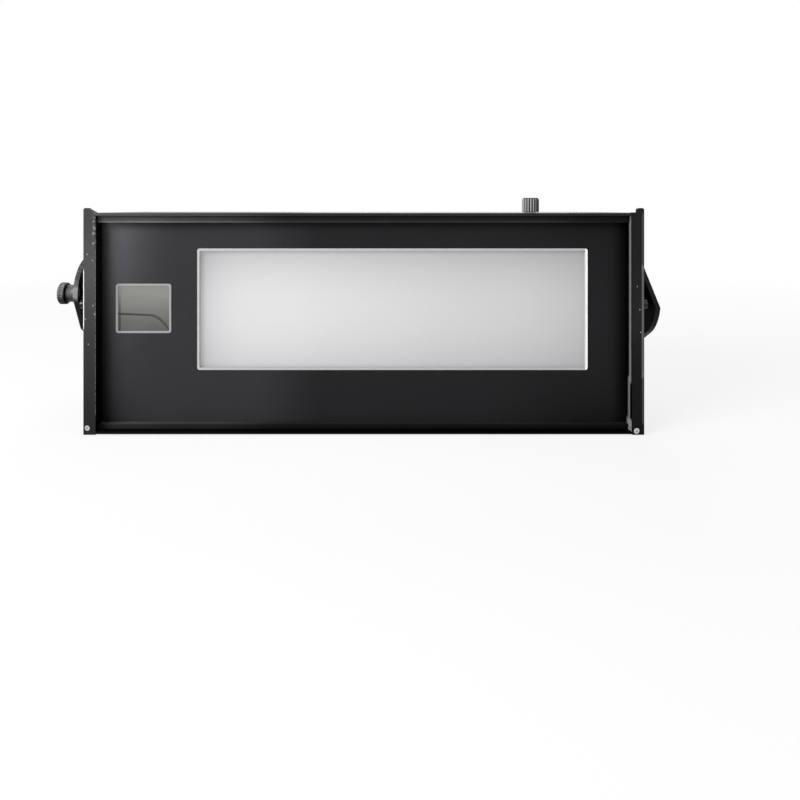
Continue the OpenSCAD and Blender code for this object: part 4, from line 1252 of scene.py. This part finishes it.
@dataclass(frozen=True)
class PaintedShadeMetal(BareMetal):
    """Knurled metal with painted shade: nearly black on the head's back face and darker low
    down.

    Attributes:
        level: The height of its axis.
        reach: The radius of its head.
    """

    level: float = 0.11
    reach: float = 0.01

    def share(self, place: Signal) -> Signal:
        """The share of the colour: painted shade behind the head and low down.

        Args:
            place: The place on the piece.

        Returns:
            The share.
        """
        facing = place.node("ShaderNodeTexCoord", "Normal")
        # Painted shade on faces that look back at the housing and on the lower half.
        behind = facing.part("X").rise(0.35, 0.75)
        low = ((place.part("Z") - self.level) / self.reach).rise(0.2, -0.5)
        return super().share(place) * (1.0 - low * 0.84) * (1.0 - behind * 0.95)


@dataclass
class ClampKnob(Assembly):
    """The knurled knob on the left pivot.

    Attributes:
        knurls: Ridges round the head.
        depth: How deep they are.
        head: The thickness of the head.
        neck_radius: The radius of the neck.
    """

    knurls: int = 30
    depth: float = 0.0007
    head: float = 0.0066
    neck_radius: float = 0.0078

    def build(self) -> None:
        """Makes the knob."""
        low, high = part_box("clamp_knob")
        radius = (high.z - low.z) / 2
        length = high.x - low.x
        middle = Vector((high.x, (low.y + high.y) / 2, (low.z + high.z) / 2))
        start = length - self.head
        neck = [(0.0044, 0.0), (self.neck_radius - 0.0004, 0.0), (self.neck_radius, 0.0004),
                (self.neck_radius, start - 0.0022), (self.neck_radius - 0.0009, start - 0.0016),
                (self.neck_radius - 0.0009, start - 0.0004), (self.neck_radius, start)]
        shoulder = [(radius - 0.0012, start), (radius - 0.0006, start + 0.0003)]
        body = [(radius, h) for h in np.linspace(start + 0.0009, length - 0.0009, 22)]
        face = [(radius - 0.0007, length - 0.0003), (radius - 0.0013, length),
                (radius - 0.003, length), (radius - 0.0034, length - 0.0004),
                (0.0032, length - 0.0005), (0.0028, length - 0.0001), (0.0003, length)]
        profile = np.array([*neck, *shoulder, *body, *face])

        def knurled(angle: np.ndarray, height: np.ndarray, far: np.ndarray) -> np.ndarray:
            """The head's relief: grooves along the rim, deeper and shallower in rings.

            Args:
                angle: The angles round the axis.
                height: The heights, whose cosine makes the rings.
                far: The distances from the axis, so that only the rim is cut.

            Returns:
                What the radius changes by.
            """
            across = 0.75 + 0.25 * np.cos((height - start) / self.head * 4 * math.pi)
            rim = np.clip((far - radius + 0.0004) / 0.0003, 0, 1)
            return -grooves(angle, self.knurls, 1.5) * across * self.depth * rim

        knob = Turning("knurled_knob", middle, "X", -1.0, profile, self.knurls * 10,
                       knurled).build()
        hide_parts("clamp_knob")
        # Its finish paints shade on the head's back face and lower half.
        skin = PaintedShadeMetal(grey(88), 0.38, metallic=0.3, specular=0.15, lines=(1.0, 0.3, 0.3),
                            tarnish=0.25, level=middle.z, reach=radius)
        self.place(knob, skin, "clamp_knob_body", "clamp_metal")


@dataclass
class Interior(Assembly):
    """What the housing holds: light engine, boards, supply, fans and wires."""

    def build(self) -> None:
        """Dresses the inner pieces."""
        self.dress(BareMetal(grey(165), 0.4), "front_tie_bars", "rear_tie_bars",
                   "engine_brackets")
        self.dress(BareMetal(grey(175), 0.35, lines=(1.0, 1.0, 0.04)), "heat_sink",
                   "power_supply")
        self.dress(Moulding(grey(232), 0.6, dust=0.02), "light_box", "led_board")
        self.dress(Moulding((0.85, 0.62, 0.16), 0.3, coat=0.4), "led_lamps")
        self.dress(BoardLacquer((0.012, 0.075, 0.035), 0.3), "densitometer_board",
                   "driver_board")
        self.dress(Moulding(grey(38), 0.45, dust=0.08), "display_module", "fan_frames",
                   "left_fan_rotor", "right_fan_rotor")
        self.dress(Moulding((0.25, 0.02, 0.015), 0.4), "wiring")
        self.dress(BareMetal((0.62, 0.46, 0.2), 0.3, lines=(1.0, 0.1, 1.0)), "board_posts",
                   "inlet_pins")
        self.dress(Moulding(grey(190), 0.15, coat=0.6), "fuses")


@dataclass
class RearFittings(Assembly):
    """The inlet, switch, jack, guards and screws."""

    def build(self) -> None:
        """Dresses the fittings."""
        self.dress(Moulding(grey(33), 0.4, specular=0.45, dust=0.05), "mains_inlet",
                   "switch_body", "fuse_drawer", "probe_jack")
        self.dress(Moulding(grey(48), 0.25, dust=0.03), "switch_rocker")
        self.dress(BareMetal(grey(185), 0.25, lines=(0.3, 1.0, 0.3)), "fan_guards")
        self.dress(BareMetal(grey(205), 0.3, lines=(0.4, 1.0, 0.4)), "front_screws")
        self.dress(BareMetal(grey(44), 0.3, lines=(1.0, 0.4, 0.4)), "side_screws")
        self.dress(BareMetal(grey(95), 0.35, lines=(0.5, 0.5, 0.5)), "cover_screws",
                   "rear_screws", "rail_screws")
        self.soften(0.0004, "side_screws", "rear_screws")


@dataclass
class Studio:
    """The floor, lamps, world and camera.

    Attributes:
        eye: Where the camera stands.
        half_view: Half the frame's width over the distance.
        shift: The frame's shift to the right and up.
        surround: How strongly the surround lights the object.
        floor_reach: Half the floor's width.
        floor_shade: The floor's colour under the lamps.
        shadow_field: Where the floor starts and ends to pass into white.
        lamps: Each lamp's name, place, aim, side and power.
    """

    eye: Triple = (0.01075, -0.636487, 0.187)
    half_view: float = 400 * 0.82 / 541
    shift: tuple[float, float] = (0.04525, -0.24)
    surround: float = 0.3
    floor_reach: float = 6.0
    floor_shade: Colour = (0.86, 0.86, 0.86)
    shadow_field: tuple[float, float] = (0.35, 1.6)
    lamps: tuple[tuple[str, Triple, Triple, float, float], ...] = (
        ("key_lamp", (-0.95, -0.95, 0.75), (0.0, 0.0, 0.09), 0.7, 26.0),
        ("fill_lamp", (0.9, -0.9, 0.9), (0.0, 0.0, 0.1), 0.8, 3.0),
        ("back_lamp", (0.2, 1.1, 0.9), (0.0, 0.0, 0.1), 0.8, 8.0),
    )

    def build(self) -> None:
        """Makes the studio."""
        self.world()
        self.floor()
        for lamp in self.lamps:
            self.lamp(*lamp)
        self.camera()

    def seen(self, tree: bpy.types.NodeTree) -> Signal:
        """1 for what the camera sees, straight, mirrored or through glass.

        Args:
            tree: The node tree that asks.

        Returns:
            The signal, 1 or 0.
        """
        path = tree.nodes.new("ShaderNodeLightPath").outputs
        camera, glossy, through = (Signal(tree, path[f"Is {kind} Ray"])
                                   for kind in ("Camera", "Glossy", "Transmission"))
        return (camera + glossy + through).clamp()

    def world(self) -> None:
        """A white surround that lights the object softly."""
        world = bpy.data.worlds.new("surround")
        bpy.context.scene.world = world
        tree = empty_tree(world)
        seen = self.seen(tree)
        strength = seen * (1 - self.surround) + self.surround
        glow = seen.node("ShaderNodeBackground", 0, {"Color": (1.0, 1.0, 1.0),
                                                     "Strength": strength})
        end_tree(tree, "ShaderNodeOutputWorld", glow.socket)

    def floor(self) -> None:
        """A plain pale floor that keeps the object's shadow."""
        far = self.floor_reach
        points = np.array([[-far, -far, 0], [far, -far, 0], [far, far, 0], [-far, far, 0]])
        plane = mesh_object("floor", points, [(0, 1, 2, 3)], smooth=False)
        made = bpy.data.materials.new("floor_finish")
        tree = empty_tree(made)
        seen = self.seen(tree)
        spot = seen.node("ShaderNodeTexCoord", "Object")
        away = seen.node("ShaderNodeVectorMath", "Value", {0: spot}, operation="LENGTH")
        share = seen * (away.rise(*self.shadow_field) * 0.2 + 0.8)
        matt = seen.node("ShaderNodeBsdfDiffuse", 0, {"Color": self.floor_shade})
        glow = seen.node("ShaderNodeEmission")
        mix = seen.node("ShaderNodeMixShader", 0, {0: share, 1: matt, 2: glow})
        end_tree(tree, "ShaderNodeOutputMaterial", mix.socket)
        plane.data.materials.append(made)

    def lamp(self, name: str, place: Triple, aim: Triple, side: float, power: float) -> None:
        """Hangs one soft square lamp.

        Args:
            name: The lamp's name.
            place: Where it hangs.
            aim: What it points at.
            side: The length of its side.
            power: Its power in watts.
        """
        light = bpy.data.lights.new(name, "AREA")
        light.shape = "SQUARE"
        light.size = side
        light.energy = power
        hung = link_object(name, light)
        hung.location = place
        turn = (Vector(aim) - Vector(place)).to_track_quat("-Z", "Y")
        hung.rotation_euler = turn.to_euler()

    def camera(self) -> None:
        """Sets the camera where the photograph was taken from."""
        lens = bpy.data.cameras.new("camera")
        lens.sensor_fit = "HORIZONTAL"
        lens.angle = 2 * math.atan(self.half_view)
        lens.shift_x, lens.shift_y = self.shift
        lens.clip_start = 0.01
        stand = link_object("camera", lens)
        stand.location = self.eye
        stand.rotation_euler = (math.pi / 2, 0.0, 0.0)
        bpy.context.scene.camera = stand


def main() -> None:
    """Builds the dressed viewer and its studio."""
    logging.basicConfig(level=logging.INFO, format="%(message)s")
    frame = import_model()
    bpy.context.scene.view_settings.view_transform = "Standard"
    for assembly in (Housing, Windows, BrightnessKnob, Bail, ClampKnob, Interior, RearFittings):
        assembly(frame).build()
        LOG.info("%s done", assembly.__name__)
    Studio().build()
    bpy.context.view_layer.update()


if __name__ == "__main__":
    main()
